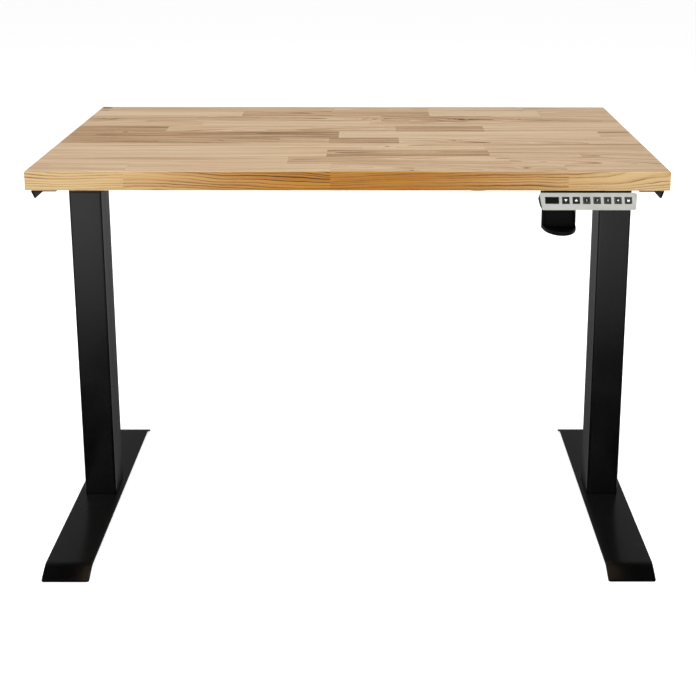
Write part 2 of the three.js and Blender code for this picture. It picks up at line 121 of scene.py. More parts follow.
def add(tree, kind, settings=None, inputs=None, output=0):
    """Adds a node: settings are its own properties, inputs are values or wires."""
    node = tree.nodes.new(kind)
    for name, value in (settings or {}).items():
        setattr(node, name, value)
    for name, value in (inputs or {}).items():
        feed(value, node.inputs[name])
    return Wire(node.outputs[output])


def calc(operation, *values):
    """One Math node in the tree of the first wire among the values."""
    tree = next(value.tree for value in values if isinstance(value, Wire))
    return add(tree, "ShaderNodeMath", {"operation": operation}, dict(enumerate(values)))


def between(value, low, high, start=0.0, end=1.0):
    """Moves value from the range low..high to start..end, smoothly and clamped."""
    inputs = {"Value": value, "From Min": low, "From Max": high, "To Min": start, "To Max": end}
    return add(value.tree, "ShaderNodeMapRange", {"interpolation_type": "SMOOTHSTEP"}, inputs)


def vector(operation, first, second, socket=1):
    """One step of vector arithmetic."""
    inputs = {0: first, socket: second}
    return add(first.tree, "ShaderNodeVectorMath", {"operation": operation}, inputs)


def combine(x, y, z):
    """A place made of three numbers, of which the first is a wire."""
    return add(x.tree, "ShaderNodeCombineXYZ", None, {"X": x, "Y": y, "Z": z})


def parts_of(place):
    """The three numbers of a place."""
    node = place.tree.nodes.new("ShaderNodeSeparateXYZ")
    feed(place, node.inputs[0])
    return [Wire(socket) for socket in node.outputs]


print("wires are ready")

# %% [markdown]
# Few patterns are needed. Noise, drawn out along one axis, gives fibres and
# turning marks; a colour ramp gives a finish its two or three close colours;
# and bump gives the grain that a finger would feel.


# %% Patterns
def noise(place, scale, detail=3.0, roughness=0.55):
    """Soft random blotches; scale is how many of them lie in one metre."""
    inputs = {"Vector": place, "Scale": scale, "Detail": detail, "Roughness": roughness}
    return add(place.tree, "ShaderNodeTexNoise", None, inputs)


def drawn(place, along_x, along_y, along_z, detail=2.0, roughness=0.55):
    """Noise with its own number of blotches in a metre along each axis."""
    return noise(vector("MULTIPLY", place, (along_x, along_y, along_z)), 1.0, detail, roughness)


def colours(value, stops):
    """Turns a number from 0 to 1 into a colour by stops of (position, colour)."""
    node = value.tree.nodes.new("ShaderNodeValToRGB")
    while len(node.color_ramp.elements) < len(stops):
        node.color_ramp.elements.new(1.0)
    for element, (position, colour) in zip(node.color_ramp.elements, stops):
        element.position = position
        element.color = (*colour, 1.0)
    feed(value, node.inputs["Fac"])
    return Wire(node.outputs["Color"])


def relief(shader, height, depth, strength=1.0):
    """Bump: the height is read as depth metres from 0 to 1."""
    inputs = {"Height": height, "Distance": depth, "Strength": strength}
    feed(add(height.tree, "ShaderNodeBump", None, inputs), shader["Normal"])


def new_finish(name):
    """A new material. Returns it, the wire of each point's place on the desk in metres, and
    the inputs of its shader."""
    material = bpy.data.materials.new(name)
    material.use_nodes = True
    tree = material.node_tree
    place = add(tree, "ShaderNodeTexCoord", output="Object")
    return material, place, tree.nodes["Principled BSDF"].inputs


print("patterns are ready")

# %% [markdown]
# ## Floor and backdrop
# A desk is photographed on white paper that sweeps up behind it. A large pale
# floor and a white dome do the same. Neither shows in glossy surfaces: what the
# black columns mirror is settled by the room light alone, two cells on.

# %% Pale floor
FLOOR_HALF = 60.0
FLOOR_WHITE = 0.9
FLOOR_GLOW = 0.8


def stage_piece(name, points, faces, base, glow):
    """A part of the studio: a sheet with a plain base brightness and its own glow."""
    material, _, shader = new_finish(name)
    shader["Base Color"].default_value = (base, base, base, 1.0)
    shader["Roughness"].default_value = 0.9
    shader["Emission Color"].default_value = (1.0, 1.0, 1.0, 1.0)
    shader["Emission Strength"].default_value = glow
    sheet = bpy.data.meshes.new(name)
    sheet.from_pydata(points.tolist(), [], faces.tolist())
    sheet.materials.append(material)
    whole = bpy.data.objects.new(name, sheet)
    whole.visible_glossy = False
    bpy.context.scene.collection.objects.link(whole)
    return whole


corners = np.array([(-1, -1, 0), (1, -1, 0), (1, 1, 0), (-1, 1, 0)]) * FLOOR_HALF
stage_piece("floor", corners, np.array([(0, 1, 2, 3)]), FLOOR_WHITE, FLOOR_GLOW)
print("floor", 2 * FLOOR_HALF, "m across")

# %% [markdown]
# The dome stands where a studio has its paper sweep. It is seen by the camera
# only: it lights nothing, casts no shadow and shows in no reflection.

# %% White dome behind the floor
DOME_RADIUS = 55.0
DOME_GLOW = 1.05


def dome(radius, around=64, up=16):
    """Half a ball: at height angle b and heading a the point is radius times
    (cos b cos a, cos b sin a, sin b)."""
    a = np.arange(around) * 2 * np.pi / around
    b = np.linspace(0, np.pi / 2 * 0.999, up)[:, None]
    rise = np.broadcast_to(np.sin(b), (up, around))
    points = np.stack([np.cos(b) * np.cos(a), np.cos(b) * np.sin(a), rise], -1)
    row, column = np.meshgrid(np.arange(up - 1), np.arange(around), indexing="ij")
    here, beside = row * around + column, row * around + (column + 1) % around
    faces = np.stack([here, here + around, beside + around, beside], -1)
    return radius * points.reshape(-1, 3), faces.reshape(-1, 4)


backdrop = stage_piece("backdrop", *dome(DOME_RADIUS), 0.0, DOME_GLOW)
backdrop.visible_diffuse = backdrop.visible_shadow = False
print("dome:", len(backdrop.data.polygons), "faces")

# %% [markdown]
# ## Room light
# The black steel is satin, so what it mirrors matters more than its colour. The
# room's brightness is a function of direction: bright towards the user's side,
# fading near the ground and overhead, and dimmer to the right. That draws the
# soft fade down the columns. A faint glow from behind keeps their side walls
# readable. Three soft boxes light the oak and stay out of reflections.

# %% Room light
EVERYWHERE = 0.17

world = bpy.data.worlds.new("studio")
bpy.context.scene.world = world
world.use_nodes = True
# x, y and z are the parts of the direction looked in, each from -1 to 1
x, y, z = parts_of(add(world.node_tree, "ShaderNodeTexCoord", output="Generated"))
upright = between(z, -0.39, -0.07) * between(z, 0.55, 0.9, 1.0, 0.12)
user_side = between(y, -0.85, -0.45, 0.98, 0.0) * between(x, -0.2, 0.2, 1.04, 0.65)
behind = between(y, 0.3, 0.7) * between(calc("ABSOLUTE", x), 0.3, 0.6, 0.10, 0.8)
below = between(z * -1.0, 0.02, 0.14)
room = world.node_tree.nodes["Background"].inputs
feed(upright * (user_side + EVERYWHERE) + behind * below, room["Strength"])
room["Color"].default_value = (1.0, 1.0, 1.0, 1.0)

# name, place, what it points at, size in metres and power in watts
LAMPS = (
    ("ceiling_softbox", (0.0, -0.2, 3.6), (0.0, 0.0, 0.0), 4.0, 104.0),
    ("front_softbox", (-0.8, -3.8, 2.0), (0.0, 0.0, 0.6), 2.6, 62.0),
    ("rear_softbox", (1.4, 3.6, 2.4), (0.0, 0.0, 0.5), 2.2, 30.0),
)
for name, place, aim, size, power in LAMPS:
    light = bpy.data.lights.new(name, "AREA")
    light.size = size
    light.energy = power
    lamp = bpy.data.objects.new(name, light)
    lamp.location = place
    lamp.visible_glossy = False
    lamp.rotation_euler = (Vector(aim) - Vector(place)).to_track_quat("-Z", "Y").to_euler()
    bpy.context.scene.collection.objects.link(lamp)
print(len(LAMPS), "soft boxes and a bright room")

# %% [markdown]
# ## Surfaces from numbers
# Most parts of this desk are made by carrying a section along a line: tubes are
# drawn, rails are rolled, motors and screws are turned. So one tool does most
# of the work. A section is a closed outline that can be pulled in by an inset,
# and a profile lists the inset at each height. All points are computed at once
# as arrays, in millimetres.


# %% Grids, stacks and caps
def shell(grid, ring=False):
    """A closed surface from sections: grid[i, j] is point j of section i. A ring joins the
    last section to the first; otherwise a flat cap closes each end. Point (i, j) has the
    number i * columns + j, and each face joins it to its neighbours in both directions."""
    rows, columns = grid.shape[:2]
    i, j = np.meshgrid(np.arange(rows - (not ring)), np.arange(columns), indexing="ij")
    up, next_one = (i + 1) % rows, (j + 1) % columns
    square = [i * columns + j, i * columns + next_one, up * columns + next_one, up * columns + j]
    faces = np.stack(square, -1).reshape(-1, 4).tolist()
    if not ring:
        first = np.arange(columns)
        faces += [first[::-1].tolist(), (first + (rows - 1) * columns).tolist()]
    return grid.reshape(-1, 3), faces


def rounded(width, depth, corner, steps=6):
    """A rectangle with round corners: quarter circles of radius corner minus inset about
    the four corner centres, joined by straight sides."""
    quarters = np.repeat(np.arange(4) * np.pi / 2, steps + 1)
    angle = quarters + np.tile(np.linspace(0, np.pi / 2, steps + 1), 4)
    side_x = np.sign(np.cos(quarters + np.pi / 4))
    side_y = np.sign(np.sin(quarters + np.pi / 4))

    def section(inset):
        radius = np.maximum(corner - inset, 0.01)
        x = side_x * (width / 2 - inset - radius) + radius * np.cos(angle)
        y = side_y * (depth / 2 - inset - radius) + radius * np.sin(angle)
        return np.stack([x, y], -1)

    return section


def circle(radius, steps=48):
    """A circle of radius minus inset."""
    angle = np.arange(steps) * 2 * np.pi / steps

    def section(inset):
        return (radius - inset)[..., None] * np.stack([np.cos(angle), np.sin(angle)], -1)

    return section


def any_outline(points):
    """A closed anticlockwise outline; each point moves in along the line that halves its
    corner, far enough to move both sides in by the inset."""
    points = np.asarray(points, float)
    ahead = np.roll(points, -1, 0) - points
    ahead /= np.linalg.norm(ahead, axis=1, keepdims=True)
    behind = np.roll(ahead, 1, 0)
    inward = np.stack([-(ahead + behind)[:, 1], (ahead + behind)[:, 0]], -1)
    inward /= np.maximum((inward * inward).sum(1, keepdims=True) / 2, 0.2)

    def section(inset):
        return points + inset[..., None] * inward

    return section


def softened(points, radius, steps=4):
    """A closed line with round corners: each corner becomes a parabola that leaves the
    line radius before the corner and rejoins it radius after. Repeated points are dropped."""
    points = np.asarray(points, float)
    radius = np.broadcast_to(np.asarray(radius, float), len(points))[:, None]
    to_last, to_next = np.roll(points, 1, 0) - points, np.roll(points, -1, 0) - points
    start = points + radius * to_last / np.linalg.norm(to_last, axis=1, keepdims=True)
    end = points + radius * to_next / np.linalg.norm(to_next, axis=1, keepdims=True)
    t = np.linspace(0, 1, steps + 1)[None, :, None]
    curve = (1 - t) ** 2 * start[:, None] + 2 * t * (1 - t) * points[:, None] + t**2 * end[:, None]
    curve = curve.reshape(-1, 2)
    return curve[np.linalg.norm(curve - np.roll(curve, 1, 0), axis=1) > 1e-6]


def stack(section, profile, ring=False):
    """Sections piled along +Z: profile lists (inset, height), and each pair gives one
    section. Going up the list, the outer wall faces out."""
    inset, height = np.asarray(profile, float).T
    flat = section(inset[:, None])
    level = np.broadcast_to(height[:, None, None], (*flat.shape[:2], 1))
    return shell(np.concatenate([flat, level], -1), ring)


def block(width, depth, low, high, corner, edge, steps=6):
    """A solid bar standing on z = low, its corners and its top and bottom edges round."""
    line = softened([(edge * 2, low), (0, low), (0, high), (edge * 2, high)], [0, edge, edge, 0])
    return stack(rounded(width, depth, corner, steps), line)


def placed(part, move=(0, 0, 0), axis="z"):
    """A shell moved, after its +Z is laid along the named axis by cycling x, y and z."""
    points, faces = part
    order = {"z": (0, 1, 2), "x": (2, 0, 1), "y": (1, 2, 0)}[axis]
    return points[:, order] + np.asarray(move, float), faces


def joined(*parts):
    """Several shells as one list of points and faces."""
    starts = np.cumsum([0] + [len(points) for points, _ in parts[:-1]])
    faces = [[n + start for n in face] for start, (_, own) in zip(starts, parts) for face in own]
    return np.concatenate([points for points, _ in parts]), faces


print("surface tools are ready")

# %% [markdown]
# ## From a surface to a piece
# Each piece has to know its material, the body that it rides on, its slot in
# the record and the CAD parts that it stands for. One function does all of
# that, so no piece is left behind when the desk moves.

# %% Pieces
MM = 0.001
SHARP_DEG = 35.0
made = {}


def mesh_from(name, part):
    """A mesh in metres from a shell in millimetres, shaded smooth up to SHARP_DEG."""
    points, faces = part
    mesh = bpy.data.meshes.new(name)
    mesh.from_pydata((points * MM).tolist(), [], faces)
    mesh.shade_smooth()
    mesh.set_sharp_from_angle(angle=math.radians(SHARP_DEG))
    return mesh


def piece(name, parts, body, stands_for=()):
    """Puts a piece in the scene. parts is a list of (shell, material)."""
    mesh = mesh_from(name, joined(*[part for part, _ in parts]))
    counts = [len(part[1]) for part, _ in parts]
    mesh.polygons.foreach_set("material_index", np.repeat(np.arange(len(parts)), counts))
    for _, material in parts:
        mesh.materials.append(material)
    whole = bpy.data.objects.new(name, mesh)
    bpy.context.scene.collection.objects.link(whole)
    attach(whole, body)
    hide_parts(*stands_for)
    made[name] = len(mesh.polygons)
    return whole


def box_mm(node):
    """Lowest and highest corner of a CAD part, in millimetres."""
    low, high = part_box(node)
    return np.array(low) / MM, np.array(high) / MM


def centre_mm(node):
    return sum(box_mm(node)) / 2


def middle_of(low, high, z=0.0):
    """The middle of a box seen from above, at height z."""
    return (low[0] + high[0]) / 2, (low[1] + high[1]) / 2, z


def cut_away(part, *tools):
    """A shell with other shells taken out of it, by Blender's exact boolean."""
    kept = bpy.data.objects.new("kept", mesh_from("kept", part))
    bpy.context.scene.collection.objects.link(kept)
    tool = bpy.data.objects.new("tool", mesh_from("tool", joined(*tools)))
    bpy.context.scene.collection.objects.link(tool)
    modifier = kept.modifiers.new("cut", "BOOLEAN")
    modifier.object = tool
    modifier.operation = "DIFFERENCE"
    result = kept.evaluated_get(bpy.context.evaluated_depsgraph_get()).to_mesh()
    points = np.zeros(len(result.vertices) * 3)
    result.vertices.foreach_get("co", points)
    faces = [list(polygon.vertices) for polygon in result.polygons]
    bpy.data.objects.remove(kept)
    bpy.data.objects.remove(tool)
    return points.reshape(-1, 3) / MM, faces


SIDES = (("left", -1.0), ("right", 1.0))
print("the frame holds", len(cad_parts), "CAD parts")

# %% [markdown]
# ## Black powder coat
# The steel is sprayed with black powder and baked. The film is satin, with a
# fine grain that is felt more than seen. A flat black would look like a hole, so
# the finish has a small pebble texture, slow changes in gloss and a little dust.


# %% Powder coat
def powder_coat():
    material, place, shader = new_finish("black_powder_coat")
    pebble = noise(place, 1400.0, 2.0)
    cloud = noise(place, 9.0, 3.0)
    dust = between(noise(place, 420.0, 4.0, 0.7), 0.55, 0.8)
    tone = between(cloud, 0.3, 0.7, 0.0, 0.6) + dust * 0.4
    film = colours(tone, ((0.0, (0.0011, 0.0011, 0.0012)), (1.0, (0.0024, 0.0024, 0.0025))))
    feed(film, shader["Base Color"])
    feed(between(cloud, 0.25, 0.75, 0.22, 0.28), shader["Roughness"])
    relief(shader, pebble, 0.00004, 0.5)
    return material


POWDER = powder_coat()
print("finish:", POWDER.name)

# %% [markdown]
# ## Moulded plastics and nylon
# Handset, control box, hook and glides are moulded. A mould is spark-eroded, so
# its parts come out with a fine matt grain. One recipe with its own colour,
# gloss and grain serves them all.


# %% Plastics
def moulded(name, dark, light, gloss, grain, depth, own=()):
    """Plastic between two close colours; gloss is (lowest, highest) roughness, grain is how
    many specks lie in a metre, and own holds settings of the shader itself."""
    material, place, shader = new_finish(name)
    cloud = noise(place, 25.0, 3.0)
    speck = noise(place, grain, 2.0, 0.65)
    feed(colours(cloud * 0.6 + speck * 0.4, ((0.3, dark), (0.7, light))), shader["Base Color"])
    feed(between(cloud, 0.3, 0.7, *gloss), shader["Roughness"])
    relief(shader, speck, depth, 0.6)
    for setting, value in dict(own).items():
        shader[setting].default_value = value
    return material


def grey(level):
    return (level, level, level)


DULL = {"Specular IOR Level": 0.2}
PEARL = {"Metallic": 0.15}
MATT_BLACK = (grey(0.0015), grey(0.003))
PLASTIC = moulded("black_moulded_plastic", *MATT_BLACK, (0.5, 0.62), 1800.0, 0.00004, DULL)
GLIDE = moulded("glide_plastic", grey(0.006), grey(0.011), (0.45, 0.55), 1200.0, 0.00005)
NYLON = moulded("nylon_bearing", grey(0.010), grey(0.018), (0.42, 0.55), 900.0, 0.00005)
KEY = moulded("key_plastic", grey(0.006), grey(0.012), (0.32, 0.42), 2600.0, 0.00002)
KEY_EDGE = moulded("key_edge", (0.075, 0.075, 0.08), (0.11, 0.11, 0.115), (0.4, 0.5), 2600.0, 0.00002)
PRINT = moulded("white_key_print", (0.80, 0.80, 0.78), (0.88, 0.88, 0.86), (0.5, 0.6), 3000.0, 0.00001)
SHEATH = moulded("cable_sheath", grey(0.008), grey(0.014), (0.48, 0.6), 1500.0, 0.00004)
SILVER = ((0.42, 0.43, 0.395), (0.51, 0.52, 0.48))
BEZEL = moulded("silver_bezel", *SILVER, (0.30, 0.38), 2400.0, 0.00002, PEARL)
BOARD = moulded("circuit_board", (0.02, 0.09, 0.045), (0.03, 0.12, 0.06), (0.3, 0.4), 900.0, 0.00003)
print("plastics: 9")

# %% [markdown]
# ## Bare metals and glass
# Screws, spindles and motor cans are zinc plated: bright, a little blue, with
# faint turning marks round them. The lifting nuts and worm wheels are bronze.
# The display is a dark window over unlit numbers, faintly green and polished.


# %% Metals and glass
def turned_metal(name, dark, light, gloss, marks):
    """Metal with fine marks along Z, so many in a metre, and slow staining."""
    material, place, shader = new_finish(name)
    lines = drawn(place, 60.0, 60.0, marks)
    stain = noise(place, 35.0, 4.0, 0.6)
    feed(colours(stain, ((0.3, dark), (0.7, light))), shader["Base Color"])
    feed(between(lines, 0.3, 0.7, *gloss), shader["Roughness"])
    shader["Metallic"].default_value = 1.0
    relief(shader, lines, 0.00003, 0.5)
    return material


def display_glass():
    material, place, shader = new_finish("display_window")
    lines = drawn(place, 300.0, 3000.0, 3000.0, 1.0)
    face = colours(lines, ((0.35, (0.0025, 0.003, 0.0015)), (0.65, (0.005, 0.006, 0.003))))
    feed(face, shader["Base Color"])
    feed(between(noise(place, 60.0, 3.0), 0.3, 0.7, 0.10, 0.2), shader["Roughness"])
    return material


ZINC = turned_metal("zinc_steel", (0.42, 0.44, 0.47), (0.60, 0.61, 0.62), (0.26, 0.40), 2600.0)
BRONZE = turned_metal("bronze", (0.45, 0.28, 0.12), (0.62, 0.40, 0.18), (0.28, 0.42), 2600.0)
WINDOW = display_glass()
print("metals and glass:", ZINC.name, BRONZE.name, WINDOW.name)

# %% [markdown]
# ## Feet
# Each foot is a flat steel bar, 5 mm thick, whose two ends are bent down to the
# floor. It could be extruded from a side view, but a real bend has a radius and
# keeps its thickness. So a rounded section is carried along the bent line.

# %% A bar carried along a bent line
BAR = 5.0
BEND_RUN = 38.0
BEND_RADIUS = 9.0
BAR_CORNER = 5.0
TIP_TOP = 3.0
TIP_LEVEL = 1.0


def bent_bar(low, high):
    """A flat bar along Y. Its middle line is a softened polyline. At distance s along it a
    rounded section stands across the line, and its half width follows a quarter circle over
    the last BAR_CORNER millimetres. Nothing goes below TIP_LEVEL."""
    level = high[2] - BAR / 2
    slope = math.atan2(high[2] - TIP_TOP, BEND_RUN)
    tip = TIP_TOP - BAR / 2 * math.cos(slope)
    lead_in = BAR / 2 * math.sin(slope)
    line = [(low[1] + lead_in, tip), (low[1] + BEND_RUN, level)]
    line += [(high[1] - BEND_RUN, level), (high[1] - lead_in, tip)]
    line = softened(line, [0, BEND_RADIUS, BEND_RADIUS, 0], 8)
    length = np.concatenate([[0], np.cumsum(np.linalg.norm(np.diff(line, axis=0), axis=1))])
    near = BAR_CORNER * (1 - np.cos(np.linspace(0, np.pi / 2, 8)))
    s = np.unique(np.round(np.concatenate([near, length, length[-1] - near]), 4))
    y, z = np.interp(s, length, line[:, 0]), np.interp(s, length, line[:, 1])
    along = np.stack([np.gradient(y, s), np.gradient(z, s)], -1)
    along /= np.linalg.norm(along, axis=1, keepdims=True)
    end = np.minimum(np.minimum(s, length[-1] - s), BAR_CORNER)
    narrower = BAR_CORNER - np.sqrt(BAR_CORNER**2 - (BAR_CORNER - end) ** 2)
    section = rounded(high[0] - low[0], BAR, 0.8, 3)(np.array([0.0]))
    across = section[None, :, 0] - np.sign(section[None, :, 0]) * narrower[:, None]
    off = section[None, :, 1]
    grid = np.stack([
        (low[0] + high[0]) / 2 - across,
        y[:, None] - along[:, 1:] * off,
        np.maximum(z[:, None] + along[:, :1] * off, TIP_LEVEL),
    ], -1)
    return shell(grid)


# %% [markdown]
# Under each end a hexagonal nut is welded on for the levelling glide. Two bolts
# come up through the middle of the bar and hold the column.

# %% Feet with their nuts
def hexagon(across, steps=48):
    """A hexagon: at each angle the radius is half the width over flats, divided by the
    cosine of the angle to the nearest flat."""
    angle = np.arange(steps) * 2 * np.pi / steps
    flat = (across / 2) / np.cos(np.mod(angle, np.pi / 3) - np.pi / 6)

    def section(inset):
        return (flat - inset)[..., None] * np.stack([np.cos(angle), np.sin(angle)], -1)

    return section


NUT_ACROSS = 13.8
NUT_HEIGHT = 6.5
GLIDE_BORE = 4.3


def welded_nut(x, y, under):
    """A hexagon nut with a bore, as one ring: out along the face, up, in and down."""
    bore = NUT_ACROSS / 2 - GLIDE_BORE
    low = under - NUT_HEIGHT
    line = [(0, low), (0, under + 0.5), (bore, under + 0.5), (bore, low)]
    return placed(stack(hexagon(NUT_ACROSS), softened(line, 0.5, 2), ring=True), (x, y, 0))


for side, _ in SIDES:
    low, high = box_mm(f"foot_{side}")
    parts = [bent_bar(low, high)]
    for end in ("front", "rear"):
        x, y, _ = centre_mm(f"glide_{end}_{side}")
        parts.append(welded_nut(x, y, high[2] - BAR))
    piece(f"foot_bar_{side}", [(joined(*parts), POWDER)], "base", [f"foot_{side}"])
print("feet:", made)

# %% [markdown]
# ## Levelling glides
# A glide is a threaded stud moulded into a plastic pad. It is turned on a
# lathe in one profile: pad, rounded rim, neck and thread.

# %% Glides
GLIDE_PITCH = 1.5


def glide(low, high):
    """A pad and a stud as one turned profile; the thread is a zigzag of 0.5 mm."""
    radius, stud = (high[0] - low[0]) / 2, 4.0
    pad = softened([(6, 0), (1.2, 0), (0, 1.2), (0, 3.6), (radius - 6, 5.2)], [0, 1, 1, 1, 0], 4)
    heights = np.arange(5.6, high[2] - 0.4, GLIDE_PITCH / 2)
    thread = radius - stud + 0.5 * (np.arange(len(heights)) % 2)
    line = np.concatenate([pad, np.stack([thread, heights], -1), [(radius - 2, high[2])]])
    return placed(stack(circle(radius), line), middle_of(low, high))


for side, _ in SIDES:
    for end in ("front", "rear"):
        node = f"glide_{end}_{side}"
        parts = [(glide(*box_mm(node)), GLIDE)]
        piece(f"glide_foot_{end}_{side}", parts, node, [node])
print("glides:", [name for name in made if name.startswith("glide")])

# %% [markdown]
# ## Columns
# A column is two rectangular tubes, one inside the other. Rolled tube has round
# corners and a slightly broken edge where it is sawn off. A tube is a ring: its
# section goes up the outside, over the lip and down the inside.

# %% Tubes
WALL = 2.0
LIP = 0.5


def tube(low, high, corner):
    """A rectangular tube along Z: outer wall, top lip, inner wall and bottom lip."""
    width, depth = high[0] - low[0], high[1] - low[1]
    line = [(0, low[2]), (0, high[2]), (WALL, high[2]), (WALL, low[2])]
    part = stack(rounded(width, depth, corner), softened(line, LIP, 3), ring=True)
    return placed(part, middle_of(low, high))


OUTER_CORNER = 5.0
INNER_CORNER = 4.0
for side, _ in SIDES:
    outer, inner = f"outer_tube_{side}", f"inner_tube_{side}"
    shape = tube(*box_mm(outer), OUTER_CORNER)
    piece(f"column_outer_{side}", [(shape, POWDER)], "base", [outer])
    shape = tube(*box_mm(inner), INNER_CORNER)
    piece(f"column_inner_{side}", [(shape, POWDER)], "lifting_frame", [inner])
print("tubes:", [name for name in made if name.startswith("column")])

# %% [markdown]
# ## Collars
# A nylon collar is pressed into the top of each outer tube. It guides the inner
# tube and hides the gap. Its lip lies on the tube's end, its skirt goes down
# inside.

# %% Collars
SKIRT_OUT = 2.3
SKIRT_IN = 3.7
LIP_HEIGHT = 4.7


def collar(low, high):
    """A ring whose section is a T: lip, inner wall, skirt."""
    under = high[2] - LIP_HEIGHT
    line = [(0, under), (0, high[2]), (SKIRT_IN, high[2]), (SKIRT_IN, low[2])]
    line += [(SKIRT_OUT, low[2]), (SKIRT_OUT, under)]
    line = softened(line, [0.4, 1.4, 0.5, 0.3, 0.3, 0.2], 4)
    part = stack(rounded(high[0] - low[0], high[1] - low[1], OUTER_CORNER), line, ring=True)
    return placed(part, middle_of(low, high))


for side, _ in SIDES:
    node = f"column_collar_{side}"
    piece(f"tube_collar_{side}", [(collar(*box_mm(node)), NYLON)], "base", [node])
print("collars:", made["tube_collar_left"], "faces each")

# %% [markdown]
# ## Lifting spindles
# Inside each column a long screw turns in a bronze nut and lifts the desk. The
# thread is a wave that climbs as it goes round, so radius depends on angle and
# height together.

# %% Threaded spindles
THREAD_PITCH = 4.0
THREAD_DEPTH = 0.9
STARTS = 4
PLAIN_END = 24.0


def turned(radii, angle, heights):
    """A grid about the Z axis: radii[i, j] at height i and angle j."""
    height = np.broadcast_to(heights[:, None], radii.shape)
    return np.stack([radii * np.cos(angle), radii * np.sin(angle), height], -1)


def screw_wave(heights, angle, pitch, starts=1):
    """The thread's trapezium wave, 0 on a crest and 1 in a groove, of
    (height / pitch - starts * angle / full turn)."""
    wave = np.mod(heights[:, None] / pitch - starts * angle / (2 * np.pi), 1.0)
    return np.clip(2.0 * np.abs(2 * wave - 1) - 0.5, 0, 1)


def spindle(low, high):
    """A threaded rod: radius = outer radius - depth * the screw's wave. Its last
    PLAIN_END millimetres have no thread."""
    radius = (high[0] - low[0]) / 2
    heights = np.arange(low[2], high[2] - PLAIN_END, THREAD_PITCH / 6)
    angle = np.arange(28) * 2 * np.pi / 28
    thread = radius - THREAD_DEPTH * screw_wave(heights, angle, THREAD_PITCH, STARTS)
    plain = np.full((2, len(angle)), radius - THREAD_DEPTH)
    heights = np.concatenate([heights, [high[2] - PLAIN_END + 0.5, high[2]]])
    return placed(shell(turned(np.concatenate([thread, plain]), angle, heights)), middle_of(low, high))


for side, _ in SIDES:
    node = f"spindle_{side}"
    parts = [(spindle(*box_mm(node)), ZINC)]
    piece(f"lifting_screw_{side}", parts, f"screw_{side}", [node])
print("spindles:", made["lifting_screw_left"], "faces each")

# %% [markdown]
# The worm wheel on top of each spindle has slanted teeth, because the worm lies
# across it. The same idea: radius is a wave of the angle, shifted with height.

# %% Worm wheels
WHEEL_TEETH = 28
TOOTH_DEPTH = 1.8
TOOTH_SLANT = 0.11
WHEEL_BORE = 7.4


def worm_wheel(low, high):
    """A toothed disc with a bore, as one ring of sections from rim to bore. At the rim the
    radius is a clipped cosine of (angle + slant * height) times the number of teeth."""
    radius, middle = (high[0] - low[0]) / 2, (low[2] + high[2]) / 2
    steps = WHEEL_TEETH * 8
    angle = np.arange(steps) * 2 * np.pi / steps
    height = np.array([low[2], low[2] + 0.6, middle, high[2] - 0.6, high[2], high[2], low[2]])
    cut = np.array([1.0, 0.0, 0.0, 0.0, 1.0, radius - WHEEL_BORE, radius - WHEEL_BORE])
    twisted = angle[None, :] + TOOTH_SLANT * (height[:, None] - middle) / (high[2] - low[2])
    tooth = np.clip(0.5 - 1.2 * np.cos(WHEEL_TEETH * twisted), 0, 1) * TOOTH_DEPTH
    tooth[5:] = 0.0
    radii = radius - cut[:, None] - tooth
    return placed(shell(turned(radii, angle, height), ring=True), middle_of(low, high))


for side, _ in SIDES:
    node = f"worm_wheel_{side}"
    parts = [(worm_wheel(*box_mm(node)), BRONZE)]
    piece(f"drive_wheel_{side}", parts, f"screw_{side}", [node])
print("worm wheels:", made["drive_wheel_left"], "faces each")

# %% [markdown]
# ## Gearboxes
# The gearbox is a casting that is open below, where the column's head enters.
# Castings have round edges, and ribs that stiffen the walls.

# %% Gearboxes
CAST_WALL = 4.0
CEILING = 12.0


def gearbox(low, high):
    """Up from the cavity's ceiling, down its wall, round the rim and up the outside."""
    width, depth = high[0] - low[0], high[1] - low[1]
    top, ceiling = high[2], high[2] - CEILING
    line = [(CAST_WALL + 3, ceiling), (CAST_WALL, ceiling), (CAST_WALL, low[2]), (0, low[2])]
    line += [(0, top), (3, top)]
    line = softened(line, [0, 1, 0.6, 0.8, 1.6, 0], 4)
    return placed(stack(rounded(width, depth, 6.0), line), middle_of(low, high))


def casting_ribs(low, high):
    """Upright ribs with round edges on the two faces that look along Y."""
    ribs = []
    for y in (low[1] + 0.6, high[1] - 0.6):
        for x in np.linspace(low[0] + 11, high[0] - 11, 4):
            ribs.append(placed(block(3.0, 4.0, low[2] + 5, high[2] - 6, 0.9, 0.8, 3), (x, y, 0)))
    return joined(*ribs)


for side, _ in SIDES:
    node = f"gearbox_{side}"
    low, high = box_mm(node)
    shape = joined(gearbox(low, high), casting_ribs(low, high))
    piece(f"gear_case_{side}", [(shape, POWDER)], "lifting_frame", [node])
print("gear cases:", made["gear_case_left"], "faces each")

# %% [markdown]
# ## Motors
# Each motor lies along the rails with its worm inside the gearbox. A motor can
# is deep-drawn from sheet: a smooth barrel with a rolled groove near each end, a
# flange, and an end cap with a bearing boss.

# %% Motors
WORM_PITCH, WORM_RADIUS, WORM_DEPTH, WORM_LENGTH = 4.7, 4.9, 1.2, 44.0
CAN_LENGTH = 96.0


